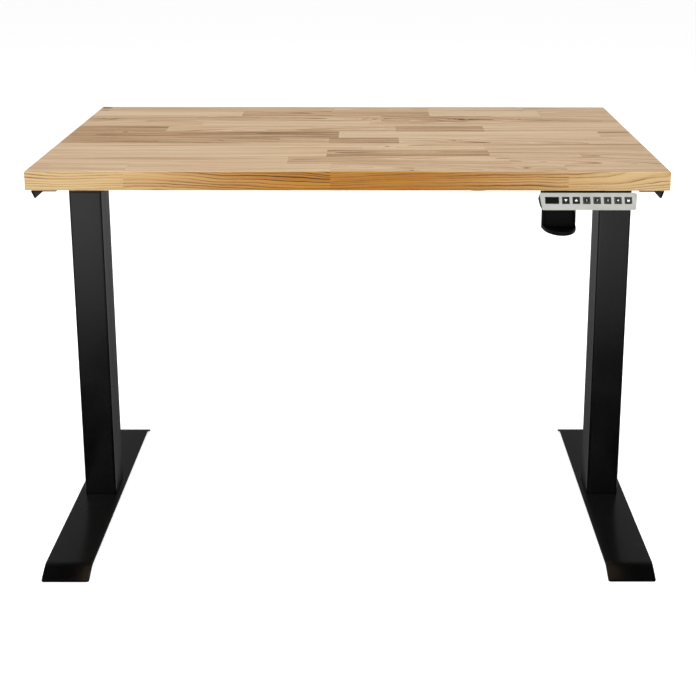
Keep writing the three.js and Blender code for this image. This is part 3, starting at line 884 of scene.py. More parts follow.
def motor(sign, low, high):
    """Turned profile of can, grooves and cap along X, with the worm and a square flange.
    It is built from x = 0 inwards and mirrored for the other side by a half turn."""
    radius = (high[2] - low[2]) / 2
    length = CAN_LENGTH
    line = [(8, 0), (0, 0), (0, 7), (0.9, 8), (0.9, 10), (0, 11), (0, length - 14)]
    line += [(0.9, length - 13), (0.9, length - 11), (0, length - 10), (0, length)]
    line += [(4, length), (4, length + 4), (12, length + 4), (12, length + 6), (14, length + 6)]
    radii = [0, 1.2, 0.4, 0.4, 0.4, 0.4, 0.4, 0.4, 0.4, 0.4, 2.2, 1, 1.2, 0.6, 0.6, 0]
    can = stack(circle(radius, 64), softened(line, radii, 3))
    flange = block(36, 36, 0.05, 4, 6, 0.8)
    height = np.arange(-WORM_LENGTH, 1.0, WORM_PITCH / 6)
    angle = np.arange(20) * 2 * np.pi / 20
    radii = WORM_RADIUS - WORM_DEPTH * screw_wave(height, angle, WORM_PITCH)
    worm = shell(turned(radii, angle, height))
    points, faces = joined(can, flange, worm)
    points = points * ((1, 1, 1) if sign < 0 else (-1, 1, -1))
    face = high[0] if sign > 0 else low[0]
    start = face - sign * (WORM_LENGTH + 1.3)
    return placed((points, faces), (start, (low[1] + high[1]) / 2, (low[2] + high[2]) / 2), "x")


for side, sign in SIDES:
    node = f"motor_{side}"
    low, high = box_mm(node)
    parts = [(motor(sign, low, high), ZINC)]
    piece(f"drive_motor_{side}", parts, "lifting_frame", [node])
    print(node, low.round(1), high.round(1))

# %% [markdown]
# ## Side brackets
# A long steel angle under each side edge stiffens the top. It is folded from
# 3 mm sheet, so its outer corner is round. Its upright leg is cut at a slant at
# both ends, and the slanted tip shows beyond the column.

# %% Folded angles
SHEET = 3.0
TAPER = 18.0


def side_bracket(low, high, sign):
    """An L section carried along Y. Near the ends the points of the upright leg are lifted
    to a line that climbs to the leaf over TAPER millimetres."""
    width, top = high[0] - low[0], high[2]
    fold = [(0, low[2]), (0, top), (-width, top), (-width, top - SHEET)]
    fold += [(-SHEET, top - SHEET), (-SHEET, low[2])]
    fold = softened(fold, [0.6, 3.6, 0.8, 0.8, 1.2, 0.6], 5)
    end = np.array([0.0, 3.0, 6.0, 9.0, 12.0, 15.0, TAPER])
    y = np.concatenate([low[1] + end, high[1] - end[::-1]])
    off = np.minimum(y - low[1], high[1] - y)
    cut_line = top - SHEET - (high[2] - low[2] - SHEET) * np.minimum(off / TAPER, 1.0)
    x = np.broadcast_to(fold[:, 0], (len(y), len(fold)))
    z = np.broadcast_to(fold[:, 1], x.shape)
    upright = z < top - SHEET - 1.0
    z = np.where(upright, np.maximum(z, cut_line[:, None]), z)
    outer = high[0] if sign > 0 else low[0]
    grid = np.stack([outer + sign * x, np.broadcast_to(y[:, None], x.shape), z], -1)
    return shell(grid[::-int(sign)])


for side, sign in SIDES:
    node = f"side_bracket_{side}"
    low, high = box_mm(node)
    shape = side_bracket(low, high, sign)
    piece(f"edge_angle_{side}", [(shape, POWDER)], "lifting_frame", [node])
print("angles:", made["edge_angle_left"], "faces each")

# %% [markdown]
# ## Rails
# Two rectangular tubes cross the desk and carry the gearboxes. They are the
# same kind of ring as the columns, laid along X.

# %% Rails
for node in ("front_rail", "rear_rail"):
    low, high = box_mm(node)
    line = softened([(0, low[0]), (0, high[0]), (WALL, high[0]), (WALL, low[0])], LIP, 3)
    part = stack(rounded(high[1] - low[1], high[2] - low[2], 2.6), line, ring=True)
    part = placed(part, (0, (low[1] + high[1]) / 2, (low[2] + high[2]) / 2), "x")
    piece(f"cross_{node}", [(part, POWDER)], "lifting_frame", [node])
print("rails:", made["cross_front_rail"], "faces each")

# %% [markdown]
# ## Screws and bolts
# Pan-head screws hold the angles to the top, and bolts hold the columns. A head is
# turned: a dome, a rim, and a socket that goes from round to six-sided.

# %% Screw heads
def screw_head(radius, height, socket):
    """A domed head along +Z with a socket. The outline of the sections changes from circle
    to hexagon, and the last section is the socket's floor."""
    steps = 48
    round_part, six = circle(radius, steps), hexagon(socket, steps)
    crown = (radius - socket / 2 - 1, height)
    line = softened([(2, 0), (0, 0), (0.3, height * 0.6), crown], [0, 0.3, 1, 0])
    rings = round_part(line[:, :1])
    inner = six(np.array([[-0.5], [0.0], [0.0]]))
    levels = np.concatenate([line[:, 1], [height, height - 0.3, height * 0.35]])
    flat = np.concatenate([rings, inner])
    z = np.broadcast_to(levels[:, None, None], (*flat.shape[:2], 1))
    return shell(np.concatenate([flat, z], -1))


def upside_down(part):
    """A half turn about X."""
    points, faces = part
    return points * (1, -1, -1), faces


HEAD_HEIGHT = 2.7


def fastener(low, high, radius, socket, across, corner):
    """A head at the lower end and a shank from there to the top of its box."""
    x, y, _ = middle_of(low, high)
    head = placed(upside_down(screw_head(radius, HEAD_HEIGHT, socket)), (x, y, low[2] + HEAD_HEIGHT))
    shank = block(across, across, low[2] + HEAD_HEIGHT - 0.2, high[2], corner, 0.4)
    return joined(head, placed(shank, (x, y, 0)))


# CAD part, piece, what it rides on, then head radius, socket, shank width and its corners
FASTENERS = (
    ("bracket_screw", "angle_screw", "lifting_frame", (5.5, 4.0, 4.6, 2.2)),
    ("foot_bolt", "column_bolt", "base", (6.4, 5.0, 5.8, 2.8)),
)
for side, _ in SIDES:
    for number in (1, 2):
        for start, name, carrier, sizes in FASTENERS:
            node = f"{start}_{side}_{number}"
            parts = [(fastener(*box_mm(node), *sizes), ZINC)]
            piece(f"{name}_{side}_{number}", parts, carrier, [node])
print("screws and bolts:", sum("screw" in name or "bolt" in name for name in made))

# %% [markdown]
# ## Control box
# The electronics sit in a flat plastic box behind the rear rail. It has a lid
# seam, louvres that let heat out, ribs, and a socket for the mains at its end.
# The socket's pocket and the slots are cut out of the turned-up block.

# %% Control box
SEAM = 689.0
SLOTS = 9
SLOT_PITCH = 8.0


def control_box(low, high, inlet_low, inlet_high):
    """A rounded block with a groove for the seam, less slots below and one deep pocket."""
    width, depth = high[0] - low[0], high[1] - low[1]
    line = [(4, low[2]), (0, low[2]), (0, SEAM), (0.9, SEAM), (0.9, SEAM + 1.4), (0, SEAM + 1.4)]
    line += [(0, high[2]), (3, high[2])]
    line = softened(line, [0, 2.6, 0.3, 0.2, 0.2, 0.3, 0.6, 0], 4)
    centre = (low + high) / 2
    body = placed(stack(rounded(width, depth, 8.0), line), (centre[0], centre[1], 0))
    slots = []
    for x in centre[0] - 60 + SLOT_PITCH * np.arange(SLOTS):
        slot = block(3.0, 46.0, low[2] - 1, low[2] + 2.2, 1.45, 0.2, 3)
        slots.append(placed(slot, (x, centre[1], 0)))
    size = inlet_high - inlet_low + (6, 0.5, 0.5)
    middle = (inlet_low + inlet_high) / 2
    pocket = block(size[1], size[2], inlet_low[0] - 0.3, inlet_high[0] + 5, 1.2, 0.2)
    return cut_away(body, placed(pocket, (0, middle[1], middle[2]), "x"), *slots)


low, high = box_mm("control_box")
box_shell = control_box(low, high, *box_mm("mains_inlet"))
lugs = []
for x in (low[0] + 30, high[0] - 40):
    for y in (low[1] - 7, high[1] + 7):
        lugs.append(placed(block(22, 20, high[2] - 3.4, high[2] - 0.1, 5, 0.8), (x, y, 0)))
        head = upside_down(screw_head(4.2, 2.2, 3.0))
        lugs.append(placed(head, (x, y + (3 if y > low[1] else -3), high[2] - 3.4)))
ribs = [
    placed(block(2.4, 70, low[2] - 0.9, low[2] + 2, 1.1, 0.5, 3), (x, centre_mm("control_box")[1], 0))
    for x in centre_mm("control_box")[0] + 34 + 12 * np.arange(5)
]
shape = joined(box_shell, *lugs, *ribs)
piece("control_case", [(shape, PLASTIC)], "lifting_frame", ["control_box"])
print("control box:", made["control_case"], "faces")

# %% [markdown]
# ## The worktop's staves
# The top is one panel glued up from oak staves. Each row runs the whole width
# and is made of a few pieces of different boards, so colour and grain change at
# every joint. The table below is the maker's cutting list: for each row its
# width, and for each stave where it ends, its tone from dark (-1) to light (1)
# and how it was sawn. A flat-sawn stave shows arches, a rift-sawn one shows
# nearly straight lines.

# %% Cutting list
FLAT, RIFT, WILD = 0, 1, 2
STAVE_ROWS = (
    (54, ((22, -0.9, RIFT), (509, 0.1, RIFT), (712, 0.3, FLAT), (919, 0.0, RIFT), (1100, 0.2, FLAT))),
    (67, ((316, 0.6, RIFT), (505, -1.0, FLAT), (712, -0.5, RIFT), (947, 0.7, RIFT), (1100, -0.1, FLAT))),
    (70, ((228, 0.0, WILD), (610, 0.2, WILD), (842, -0.1, WILD), (1100, 0.0, FLAT))),
    (56, ((245, 0.2, RIFT), (586, 0.6, RIFT), (860, 0.2, FLAT), (1100, 0.4, RIFT))),
    (60, ((182, -0.9, RIFT), (638, 0.1, FLAT), (814, -0.7, RIFT), (1100, 0.4, RIFT))),
    (70, ((526, -0.4, WILD), (1036, 0.7, RIFT), (1100, 0.0, FLAT))),
    (59, ((414, -0.5, WILD), (509, 0.1, FLAT), (642, -1.0, RIFT), (1100, 0.6, FLAT))),
    (66, ((572, 0.5, RIFT), (800, 0.6, FLAT), (1100, -0.2, RIFT))),
    (66, ((509, 0.5, RIFT), (803, -0.5, FLAT), (968, -0.1, RIFT), (1100, 0.2, FLAT))),
    (62, ((442, 0.6, RIFT), (835, 0.0, FLAT), (1100, 0.2, WILD))),
    (70, ((168, 0.5, FLAT), (520, 0.6, RIFT), (926, 0.2, FLAT), (1100, 0.3, WILD))),
)
# the front edge: where each stave ends, its tone (lifted above the tones of the same staves on top, as
# painted light on the front face) and how its rings lean
EDGE_STAVES = ((168, 1.7, 0.02), (520, 0.95, 0.045), (926, 0.75, -0.035), (1100, 1.5, -0.032))
widths = np.array([width for width, _ in STAVE_ROWS], float)
print(len(widths), "rows,", sum(len(staves) for _, staves in STAVE_ROWS), "staves")

# %% [markdown]
# ## One panel with a face for every stave
# The panel is one closed box whose faces are split along every joint. A face
# carries its stave's facts as attributes, and the material reads them. That
# keeps the wood one solid body, as glue does.


# %% The box of faces
def split_box(xs, ys, zs):
    """The six sides of a box, each a grid over two of the three lists of levels, welded
    where they meet. Returns points, faces, and each face's side as 0 to 5."""
    levels = (np.asarray(xs, float), np.asarray(ys, float), np.asarray(zs, float))
    points, faces, side_of = [], [], []
    for axis in range(3):
        u, v = (axis + 1) % 3, (axis + 2) % 3
        for end, at in ((0, levels[axis][0]), (1, levels[axis][-1])):
            a, b = np.meshgrid(levels[u], levels[v], indexing="ij")
            sheet = np.zeros((*a.shape, 3))
            sheet[..., axis], sheet[..., u], sheet[..., v] = at, a, b
            start = sum(len(p) for p in points)
            i, j = np.meshgrid(np.arange(a.shape[0] - 1), np.arange(a.shape[1] - 1), indexing="ij")
            corner = start + i * a.shape[1] + j
            square = np.stack([corner, corner + a.shape[1], corner + a.shape[1] + 1, corner + 1], -1)
            square = square.reshape(-1, 4)
            faces.append(square if end else square[:, ::-1])
            side_of.append(np.full(len(square), axis * 2 + end))
            points.append(sheet.reshape(-1, 3))
    points = np.concatenate(points)
    _, first, same = np.unique(points.round(4), axis=0, return_index=True, return_inverse=True)
    return points[first], same.reshape(-1)[np.concatenate(faces)], np.concatenate(side_of)


low, high = box_mm("worktop")
row_ends = high[1] - np.cumsum(widths) * (high[1] - low[1]) / widths.sum()
row_ends[-1] = low[1]
cuts = {low[0] + end for _, staves in STAVE_ROWS for end, _, _ in staves}
cuts |= {low[0] + end for end, _, _ in EDGE_STAVES} | {low[0]}
points, faces, side_of = split_box(sorted(cuts), np.append(row_ends[::-1], high[1]), (low[2], high[2]))
print("panel:", len(points), "points,", len(faces), "faces")

# %% [markdown]
# For each face the stave is looked up from the face's middle. A stave's own
# numbers come from one seeded random source: where the heart of the log was,
# how much the log leaned, and a shift of the pattern.

# %% Facts of each stave
SEED = 41
# for flat, rift and wild boards: where the heart lies across the row and how far that
# wanders, how deep it lies, how much it leans, and how bold the rings are
HEART_ACROSS, HEART_WANDER, HEART_DEEP = (0, 90, 0), (10, 30, 25), (26, 60, 20)
LEAN, BOLD = (0.05, 0.02, 0.09), (1.0, 0.55, 1.3)
LEAST_LEAN, EDGE_BOLD = 0.02, 2.3
rng = np.random.default_rng(SEED)
middle = points[faces].mean(1)
row_of = np.clip(np.searchsorted(-row_ends, -middle[:, 1]), 0, len(widths) - 1)
FACTS = ("tone", "heart_y", "heart_z", "lean", "shift", "lit_front_edge", "bold")
facts = {name: np.zeros(len(faces)) for name in FACTS}
joint = np.zeros((len(faces), 2))
for row, (_, staves) in enumerate(STAVE_ROWS):
    row_middle = row_ends[row] + widths[row] / 2
    start = low[0]
    for end, tone, sawn in staves:
        stop = low[0] + end
        mine = (row_of == row) & (middle[:, 0] > start) & (middle[:, 0] < stop)
        lean, wander, depth, shift = rng.uniform(-1, 1, 4)
        facts["tone"][mine] = tone
        facts["shift"][mine] = shift * 7
        across = HEART_ACROSS[sawn] + wander * HEART_WANDER[sawn]
        facts["heart_y"][mine] = row_middle + across
        facts["heart_z"][mine] = HEART_DEEP[sawn] + depth * 8
        facts["lean"][mine] = lean * LEAN[sawn] + math.copysign(LEAST_LEAN, lean)
        facts["bold"][mine] = BOLD[sawn]
        joint[mine] = start, stop
        start = stop
start = low[0]
# painted light: the front edge gets lighter tones than the same staves on top, and a warm tint
for end, tone, lean in EDGE_STAVES:
    stop = low[0] + end
    mine = (side_of == 2) & (middle[:, 0] > start) & (middle[:, 0] < stop)
    facts["tone"][mine] = tone
    facts["lit_front_edge"][mine] = 1.0
    facts["lean"][mine] = lean
    facts["bold"][mine] = EDGE_BOLD
    facts["shift"][mine] = end / 300
    start = stop
print("darkest and lightest tone:", facts["tone"].min(), facts["tone"].max())

# %% [markdown]
# ## Oak
# Oak's figure is cut through the rings of the trunk. So the material first finds
# how far each point is from the heart of its own log. Rings, streaks and
# arches all follow from that one distance, and they run over the edges and
# into the end grain as real wood does. A knot pushes the rings apart round it.

# %% Knots, as distance from the left edge, from the rear edge, and size
KNOTS = (
    (10, 14, 9), (49, 163, 7), (596, 160, 8), (779, 168, 9), (898, 160, 6), (105, 315, 9),
    (300, 402, 4), (180, 412, 4), (747, 408, 6), (619, 468, 7), (857, 667, 8), (659, 688, 5),
)


def bell(dx, dy, wide, tall):
    """exp(-(dx / wide)^2 - (dy / tall)^2)."""
    u, v = dx / wide, dy / tall
    return calc("EXPONENT", (u * u + v * v) * -1.0)


def knot_field(x, y):
    """Two sums of bells over all knots: long wide ones that bend the rings, and small ones
    that darken the core."""
    bend, core = x * 0.0, x * 0.0
    for from_left, from_rear, size in KNOTS:
        dx = x - (low[0] + from_left) * MM
        dy = y - (high[1] - from_rear) * MM
        size = size * MM
        bend = bend + bell(dx, dy, 3.4 * size, 1.3 * size) * (1.1 * size)
        core = core + bell(dx, dy, 0.55 * size, 0.4 * size)
    return bend, core


def fact_of(tree, name):
    """The three numbers of a face attribute."""
    return parts_of(add(tree, "ShaderNodeAttribute", {"attribute_name": name}, output="Vector"))


def ring_distance(place, x, y, z, shift):
    """Distance from the log's heart: the root of dy squared plus dz squared, where the heart
    leans with x and wanders by slow noise, plus the knots' bend. Returns it, the knots'
    cores, and the place moved by the stave's own shift."""
    heart_y, heart_z, lean = fact_of(place.tree, "stave_log")
    moved = vector("ADD", place, combine(shift, shift, 0.0))
    slow = drawn(moved, 2.6, 8.0, 8.0) - 0.5
    quick = drawn(moved, 14.0, 50.0, 50.0) - 0.5
    across = y - heart_y + lean * x + slow * 0.030 + quick * 0.0045
    deep = lean * 0.6 * x + (heart_z + (high[2] * MM - z))
    bend, core = knot_field(x, y)
    return calc("SQRT", across * across + deep * deep) + bend, core, moved


print(len(KNOTS), "knots")

# %% [markdown]
# The darkness of a point is a sum: the stave's own tone, streaks and late wood
# that follow the rings, then fibre, pores, rays and knots. One ramp turns that
# number into a colour. The front edge is painted lighter and warmer than the top
# of the same staves, as painted light on the face that meets the lamps. It is
# honey coloured, most of all in the middle, and a thin shadow lies in every
# glue joint.

# %% The oak material
RING = 0.0034
GLUE_LINE = 0.0003
OAK_COLOURS = (
    (0.0, (0.105, 0.056, 0.027)), (0.25, (0.36, 0.212, 0.107)), (0.45, (0.565, 0.378, 0.218)),
    (0.62, (0.665, 0.482, 0.305)), (0.8, (0.74, 0.565, 0.385)),
)
LIT_EDGE_TINT = (1.0, 0.965, 0.74)
HONEY_TINT = (0.72, 0.43, 0.075)


def tinted(colour, tint, share):
    """A share of the colour is multiplied by the tint."""
    inputs = {"Factor": share, 4: colour, 5: vector("MULTIPLY", colour, tint)}
    return add(colour.tree, "ShaderNodeMix", {"data_type": "VECTOR"}, inputs, output=1)


def oak_figure(place, x, y, z, tone, bold, shift):
    """The sum of tone, streaks, late wood, fibre, pores, rays and cores; also fibre, pores."""
    distance, core, moved = ring_distance(place, x, y, z, shift)
    uneven = noise(combine(distance * 60.0, shift, 0.0), 1.0, 2.0) * 5.0 + distance / RING
    patchy = between(drawn(moved, 3.0, 30.0, 30.0), 0.3, 0.7, 0.25, 1.0)
    late = calc("POWER", calc("FRACT", uneven), 3.0) * bold * patchy
    streak = noise(combine(distance * 170.0, x * 1.6, shift), 1.0, 3.0, 0.6) - 0.5
    fibre = drawn(moved, 22.0, 1100.0, 1100.0, 3.0, 0.6) - 0.5
    pores = between(drawn(moved, 130.0, 2400.0, 2400.0, 1.0), 0.58, 0.68)
    rays = between(drawn(moved, 170.0, 600.0, 600.0, 1.0), 0.66, 0.74)
    value = tone * 0.18 + 0.555 + streak * 1.2 + late * -0.40 + fibre * 0.55
    return value + pores * -0.10 + rays * 0.06 + core * -0.8, fibre, pores


def oak():
    material, place, shader = new_finish("oiled_oak")
    x, y, z = parts_of(place)
    tone, lit_front_edge, bold = fact_of(place.tree, "stave_look")
    start, stop, shift = fact_of(place.tree, "stave_ends")
    front, rear, _ = fact_of(place.tree, "stave_row")
    value, fibre, pores = oak_figure(place, x, y, z, tone, bold, shift)

    # painted light: the front edge is tinted warmer, and its lighter tones come from the cutting list
    wood = tinted(colours(value, OAK_COLOURS), LIT_EDGE_TINT, lit_front_edge)
    honey = between(x, -0.50, -0.05, 0.16, 1.0) * between(x, 0.08, 0.55, 1.0, 0.16)
    wood = tinted(wood, HONEY_TINT, lit_front_edge * honey)
    ends, edges = calc("MINIMUM", x - start, stop - x), calc("MINIMUM", y - front, rear - y)
    nearest = calc("ABSOLUTE", calc("MINIMUM", ends, edges))
    glue = between(nearest, 0.0, GLUE_LINE, 0.72, 1.0)
    feed(vector("SCALE", wood, glue, "Scale"), shader["Base Color"])
    feed(between(value, 0.2, 0.8, 0.5, 0.4), shader["Roughness"])
    relief(shader, fibre * 0.4 - pores * 0.7, 0.00006, 0.5)
    shader["Specular IOR Level"].default_value = 0.35
    return material


OAK = oak()
print("oak nodes:", len(OAK.node_tree.nodes))

# %% [markdown]
# The finished panel takes the facts on its faces, the oak, and a small bevel:
# every edge that a forearm rests on is broken with sandpaper.

# %% The worktop
EDGE_BREAK = 0.0014

mesh = mesh_from("oak_top", (points, faces.tolist()))
row_start = row_ends[row_of]
tables = {
    "stave_log": (facts["heart_y"] * MM, facts["heart_z"] * MM, facts["lean"]),
    "stave_look": (facts["tone"], facts["lit_front_edge"], facts["bold"]),
    "stave_ends": (joint[:, 0] * MM, joint[:, 1] * MM, facts["shift"]),
    "stave_row": (row_start * MM, (row_start + widths[row_of]) * MM, np.zeros(len(faces))),
}
for name, columns in tables.items():
    numbers = np.stack(columns, -1).astype(np.float32)
    mesh.attributes.new(name, "FLOAT_VECTOR", "FACE").data.foreach_set("vector", numbers.ravel())
mesh.materials.append(OAK)
top = bpy.data.objects.new("oak_top", mesh)
bpy.context.scene.collection.objects.link(top)
bevel = top.modifiers.new("broken_edge", "BEVEL")
bevel.width, bevel.segments, bevel.angle_limit = EDGE_BREAK, 3, math.radians(40)
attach(top, "lifting_frame")
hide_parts("worktop")
print("worktop:", len(mesh.polygons), "faces")

# %% [markdown]
# ## The handset
# The handset hangs under the front edge. Its face leans back, so the user can
# read it from above. Everything on it is built flat, in the face's own frame,
# and then leaned: u to the right, v up the slope, n out of the face.

# %% The leaning face
LEAN_DEG = 33.0
FACE_TOP_WIDTH = 167.6
FACE_BOTTOM_WIDTH = 159.4
FACE_LENGTH = 31.5
KEY_ROW = -14.0
lean = math.radians(LEAN_DEG)
low, high = box_mm("handset_bezel")
FACE_TOP = np.array([(low[0] + high[0]) / 2, box_mm("worktop")[0][1], 699.0])
AXES = np.array([
    (1, 0, 0),
    (0, math.sin(lean), math.cos(lean)),
    (0, -math.cos(lean), math.sin(lean)),
])


def on_face(part, u=0.0, v=0.0, n=0.0):
    """A shell from the face's frame, first moved by (u, v, n), into the desk's frame."""
    points, faces = part
    return (points + (u, v, n)) @ AXES + FACE_TOP, faces


def face_u(node):
    return centre_mm(node)[0] - FACE_TOP[0]


print("face top middle:", FACE_TOP.round(1), "outer keys:", face_u("key_down"), face_u("key_lock"))

# %% [markdown]
# The silver bezel is a frame with a slightly raised, rounded border and eight
# openings. The openings are cut from the sunk panel. Behind the border its
# walls run back under the top, as far as the housing.

# %% Bezel
BORDER = 2.2
SINK = 0.5
UNDER_BORDER = 1.8
PAINTED_TO = -1.4
HOOD_BACK = -300.0
HOOD_FLOOR = 672.3
KEY_NAMES = ("down", "up", "memory_1", "memory_2", "memory_3", "memory_4", "lock")
KEY_OPENING = 12.7
WINDOW_OPENING = 23.7


def face_outline():
    """The face seen from the front: wider at the top, corners softened."""
    a, b = FACE_TOP_WIDTH / 2, FACE_BOTTOM_WIDTH / 2
    corners = [(a, 0), (-a, 0), (-b, -FACE_LENGTH), (b, -FACE_LENGTH)]
    return softened(corners, [5.5, 3.4, 3.4, 4.0], 8)


def bezel_border():
    """A ring: up the outer wall, over the rounded border, down into the panel, back along
    the inside. The two rearmost sections are carried straight back to the hood's rear
    plane, and kept above the hood's floor."""
    line = softened([(0, -4), (0, 0), (BORDER, 0), (BORDER, -4)], [0.1, 1.0, 0.5, 0.1], 5)
    line = np.concatenate([[(0, -40)], line, [(BORDER, -40)]])
    (points, faces) = stack(any_outline(face_outline()), line, ring=True)
    placed_points, _ = on_face((points, faces))
    back = points[:, 2] < -30
    rear = (points * (1, 1, 0)) @ AXES + FACE_TOP
    rear[:, 2] -= (HOOD_BACK - rear[:, 1]) * math.tan(lean)
    rear[:, 1] = HOOD_BACK
    whole = np.where(back[:, None], rear, placed_points)
    whole[:, 2] = np.maximum(whole[:, 2], HOOD_FLOOR)
    return whole, faces


def plate_with_openings(u, v, low, high, is_open):
    """A plate on a lattice. u has one list of levels per level of v, so the two ends may
    slant. Every closed cell has a top and a bottom, and a wall wherever its neighbour is open
    or missing."""
    columns, rows = u.shape
    flat = np.stack([u, np.broadcast_to(v, u.shape)], -1)
    points = np.stack([np.insert(flat, 2, n, axis=-1) for n in (low, high)], 2)
    number = np.arange(points.size // 3).reshape(columns, rows, 2)
    solid = np.pad(~is_open, 1)
    here = solid[1:-1, 1:-1]
    a, b, c, d = number[:-1, :-1], number[1:, :-1], number[1:, 1:], number[:-1, 1:]
    faces = [np.stack([a, b, c, d], -1)[here][:, 1], np.stack([d, c, b, a], -1)[here][:, 0]]
    walls = (
        (solid[2:, 1:-1], b, c), (solid[:-2, 1:-1], d, a),
        (solid[1:-1, 2:], c, d), (solid[1:-1, :-2], a, b),
    )
    for beside, start, end in walls:
        wall = np.stack([start[..., 0], end[..., 0], end[..., 1], start[..., 1]], -1)
        faces.append(wall[here & ~beside])
    return points.reshape(-1, 3), np.concatenate(faces).tolist()


def bezel_panel():
    """The sunk panel: a lattice with an opening for the display and for each key."""
    gap = KEY_OPENING / 2
    holes = [(face_u("display_window"), WINDOW_OPENING / 2)]
    holes += [(face_u(f"key_{name}"), gap) for name in KEY_NAMES]
    inner = np.array([edge for middle, half in holes for edge in (middle - half, middle + half)])
    v = np.array([-FACE_LENGTH + UNDER_BORDER, KEY_ROW - gap, KEY_ROW + gap, -UNDER_BORDER])
    end = np.interp(v, (-FACE_LENGTH, 0), (FACE_BOTTOM_WIDTH / 2, FACE_TOP_WIDTH / 2)) - UNDER_BORDER
    u = np.concatenate([[-end], np.repeat(inner[:, None], 4, 1), [end]])
    is_open = np.zeros((len(u) - 1, 3), bool)
    is_open[1::2, 1] = True
    return on_face(plate_with_openings(u, v, -3.0, -SINK, is_open))


shape = joined(bezel_border(), bezel_panel())
bezel = piece("silver_bezel", [(shape, BEZEL)], "lifting_frame", ["handset_bezel"])
bezel.data.materials.append(PLASTIC)
middles = np.zeros(3 * made["silver_bezel"])
bezel.data.polygons.foreach_get("center", middles)
depth = (middles.reshape(-1, 3) / MM - FACE_TOP) @ AXES[2]
bezel.data.polygons.foreach_set("material_index", (depth < PAINTED_TO).astype(int))
print("bezel:", made["silver_bezel"], "faces")

# %% [markdown]
# ## Display and keys
# The display is a dark window, polished, a little below the bezel. Each key is a
# cap with a soft shoulder and a slightly dished top. The memory keys have a
# lighter line round the cap.

# %% Window and key caps
CAP = 12.0


def key_cap(top, bottom):
    """Shoulder, softened edge and a shallow dish, as insets against height."""
    line = [(0, bottom), (0, top - 0.5), (0.5, top), (2.4, top), (4.6, top - 0.18)]
    return stack(rounded(CAP, CAP, 1.6), softened(line, [0, 0.2, 0.3, 0.6, 0], 3))


def cap_line(top):
    """A thin raised square line on the cap, as a ring."""
    low, high = top - 0.2, top + 0.03
    line = softened([(1.0, low), (1.0, high), (1.75, high), (1.75, low)], 0.03, 2)
    return stack(rounded(CAP, CAP, 1.9), line, ring=True)


window = block(23, CAP, -2.4, -0.3, 1.0, 0.3)
shape = on_face(window, face_u("display_window"), KEY_ROW)
piece("display_pane", [(shape, WINDOW)], "lifting_frame", ["display_window"])
for name in KEY_NAMES:
    u = face_u(f"key_{name}")
    parts = [(on_face(key_cap(0.45, -3.0), u, KEY_ROW), KEY)]
    if name not in ("down", "up"):
        parts.append((on_face(cap_line(0.45), u, KEY_ROW), KEY_EDGE))
    piece(f"key_cap_{name}", parts, f"key_{name}", [f"key_{name}"])
print("key caps:", sum(name.startswith("key_cap") for name in made))

# %% [markdown]
# The signs are printed on the caps: two arrowheads, the numbers of the four
# stored heights, and a padlock. Numbers come from Blender's own text tool,
# turned into a mesh; the arrowheads and the padlock are outlines.

# %% Printed signs
INK = 0.06
SIGN = 5.8


def written(text):
    """A character as a thin solid, centred, SIGN millimetres tall."""
    curve = bpy.data.curves.new("sign", "FONT")
    curve.body, curve.size, curve.extrude = text, 1.0, 0.01
    holder = bpy.data.objects.new("sign", curve)
    bpy.context.scene.collection.objects.link(holder)
    mesh = holder.evaluated_get(bpy.context.evaluated_depsgraph_get()).to_mesh()
    flat = np.zeros(len(mesh.vertices) * 3)
    mesh.vertices.foreach_get("co", flat)
    flat = flat.reshape(-1, 3)
    faces = [list(polygon.vertices) for polygon in mesh.polygons]
    bpy.data.objects.remove(holder)
    tall = flat[:, 1].max() - flat[:, 1].min()
    flat = (flat - (flat.max(0) + flat.min(0)) / 2) * (SIGN / tall, SIGN / tall, INK / 0.02)
    _, first, same = np.unique(flat.round(5), axis=0, return_index=True, return_inverse=True)
    return flat[first], [list(dict.fromkeys(same.reshape(-1)[face])) for face in faces]


def sign_plate(points):
    """An outline as a thin plate."""
    return stack(any_outline(points), [(0, -INK), (0, INK)])


def arrowhead(direction):
    corners = np.array([(-2.9, -1.9), (2.9, -1.9), (0, 2.6)]) * direction
    return sign_plate(softened(corners, 0.4, 3))


def padlock():
    """A body with round corners and a shackle: half a ring that stands on it."""
    body = placed(stack(rounded(4.6, 3.2, 0.6), [(0, -INK), (0, INK)]), (0, -1.0, 0))
    angle = np.linspace(0, np.pi, 13)
    arc = np.stack([np.cos(angle), np.sin(angle)], -1)
    ring = np.concatenate([arc * 1.75, arc[::-1] * 1.1]) + (0, 1.2)
    left_foot = [(-1.75, 0.5), (-1.1, 0.5)]
    ring = np.concatenate([[(1.75, 0.5)], ring[:13], left_foot, ring[13:], [(1.1, 0.5)]])
    return joined(body, sign_plate(ring))


signs = dict(zip(KEY_NAMES, (arrowhead(-1), arrowhead(1), *map(written, "1234"), padlock())))
for name, sign in signs.items():
    shape = on_face(sign, face_u(f"key_{name}"), KEY_ROW, 0.29)
    piece(f"key_sign_{name}", [(shape, PRINT)], f"key_{name}")
print("signs:", {name: made[f"key_sign_{name}"] for name in KEY_NAMES})

# %% [markdown]
# ## Housing and hook
# The black housing behind the bezel carries the circuit board and is screwed to
# the top. A bag hook hangs from it: a round tongue with a raised rim, a back
# plate and two cheeks, moulded in one.

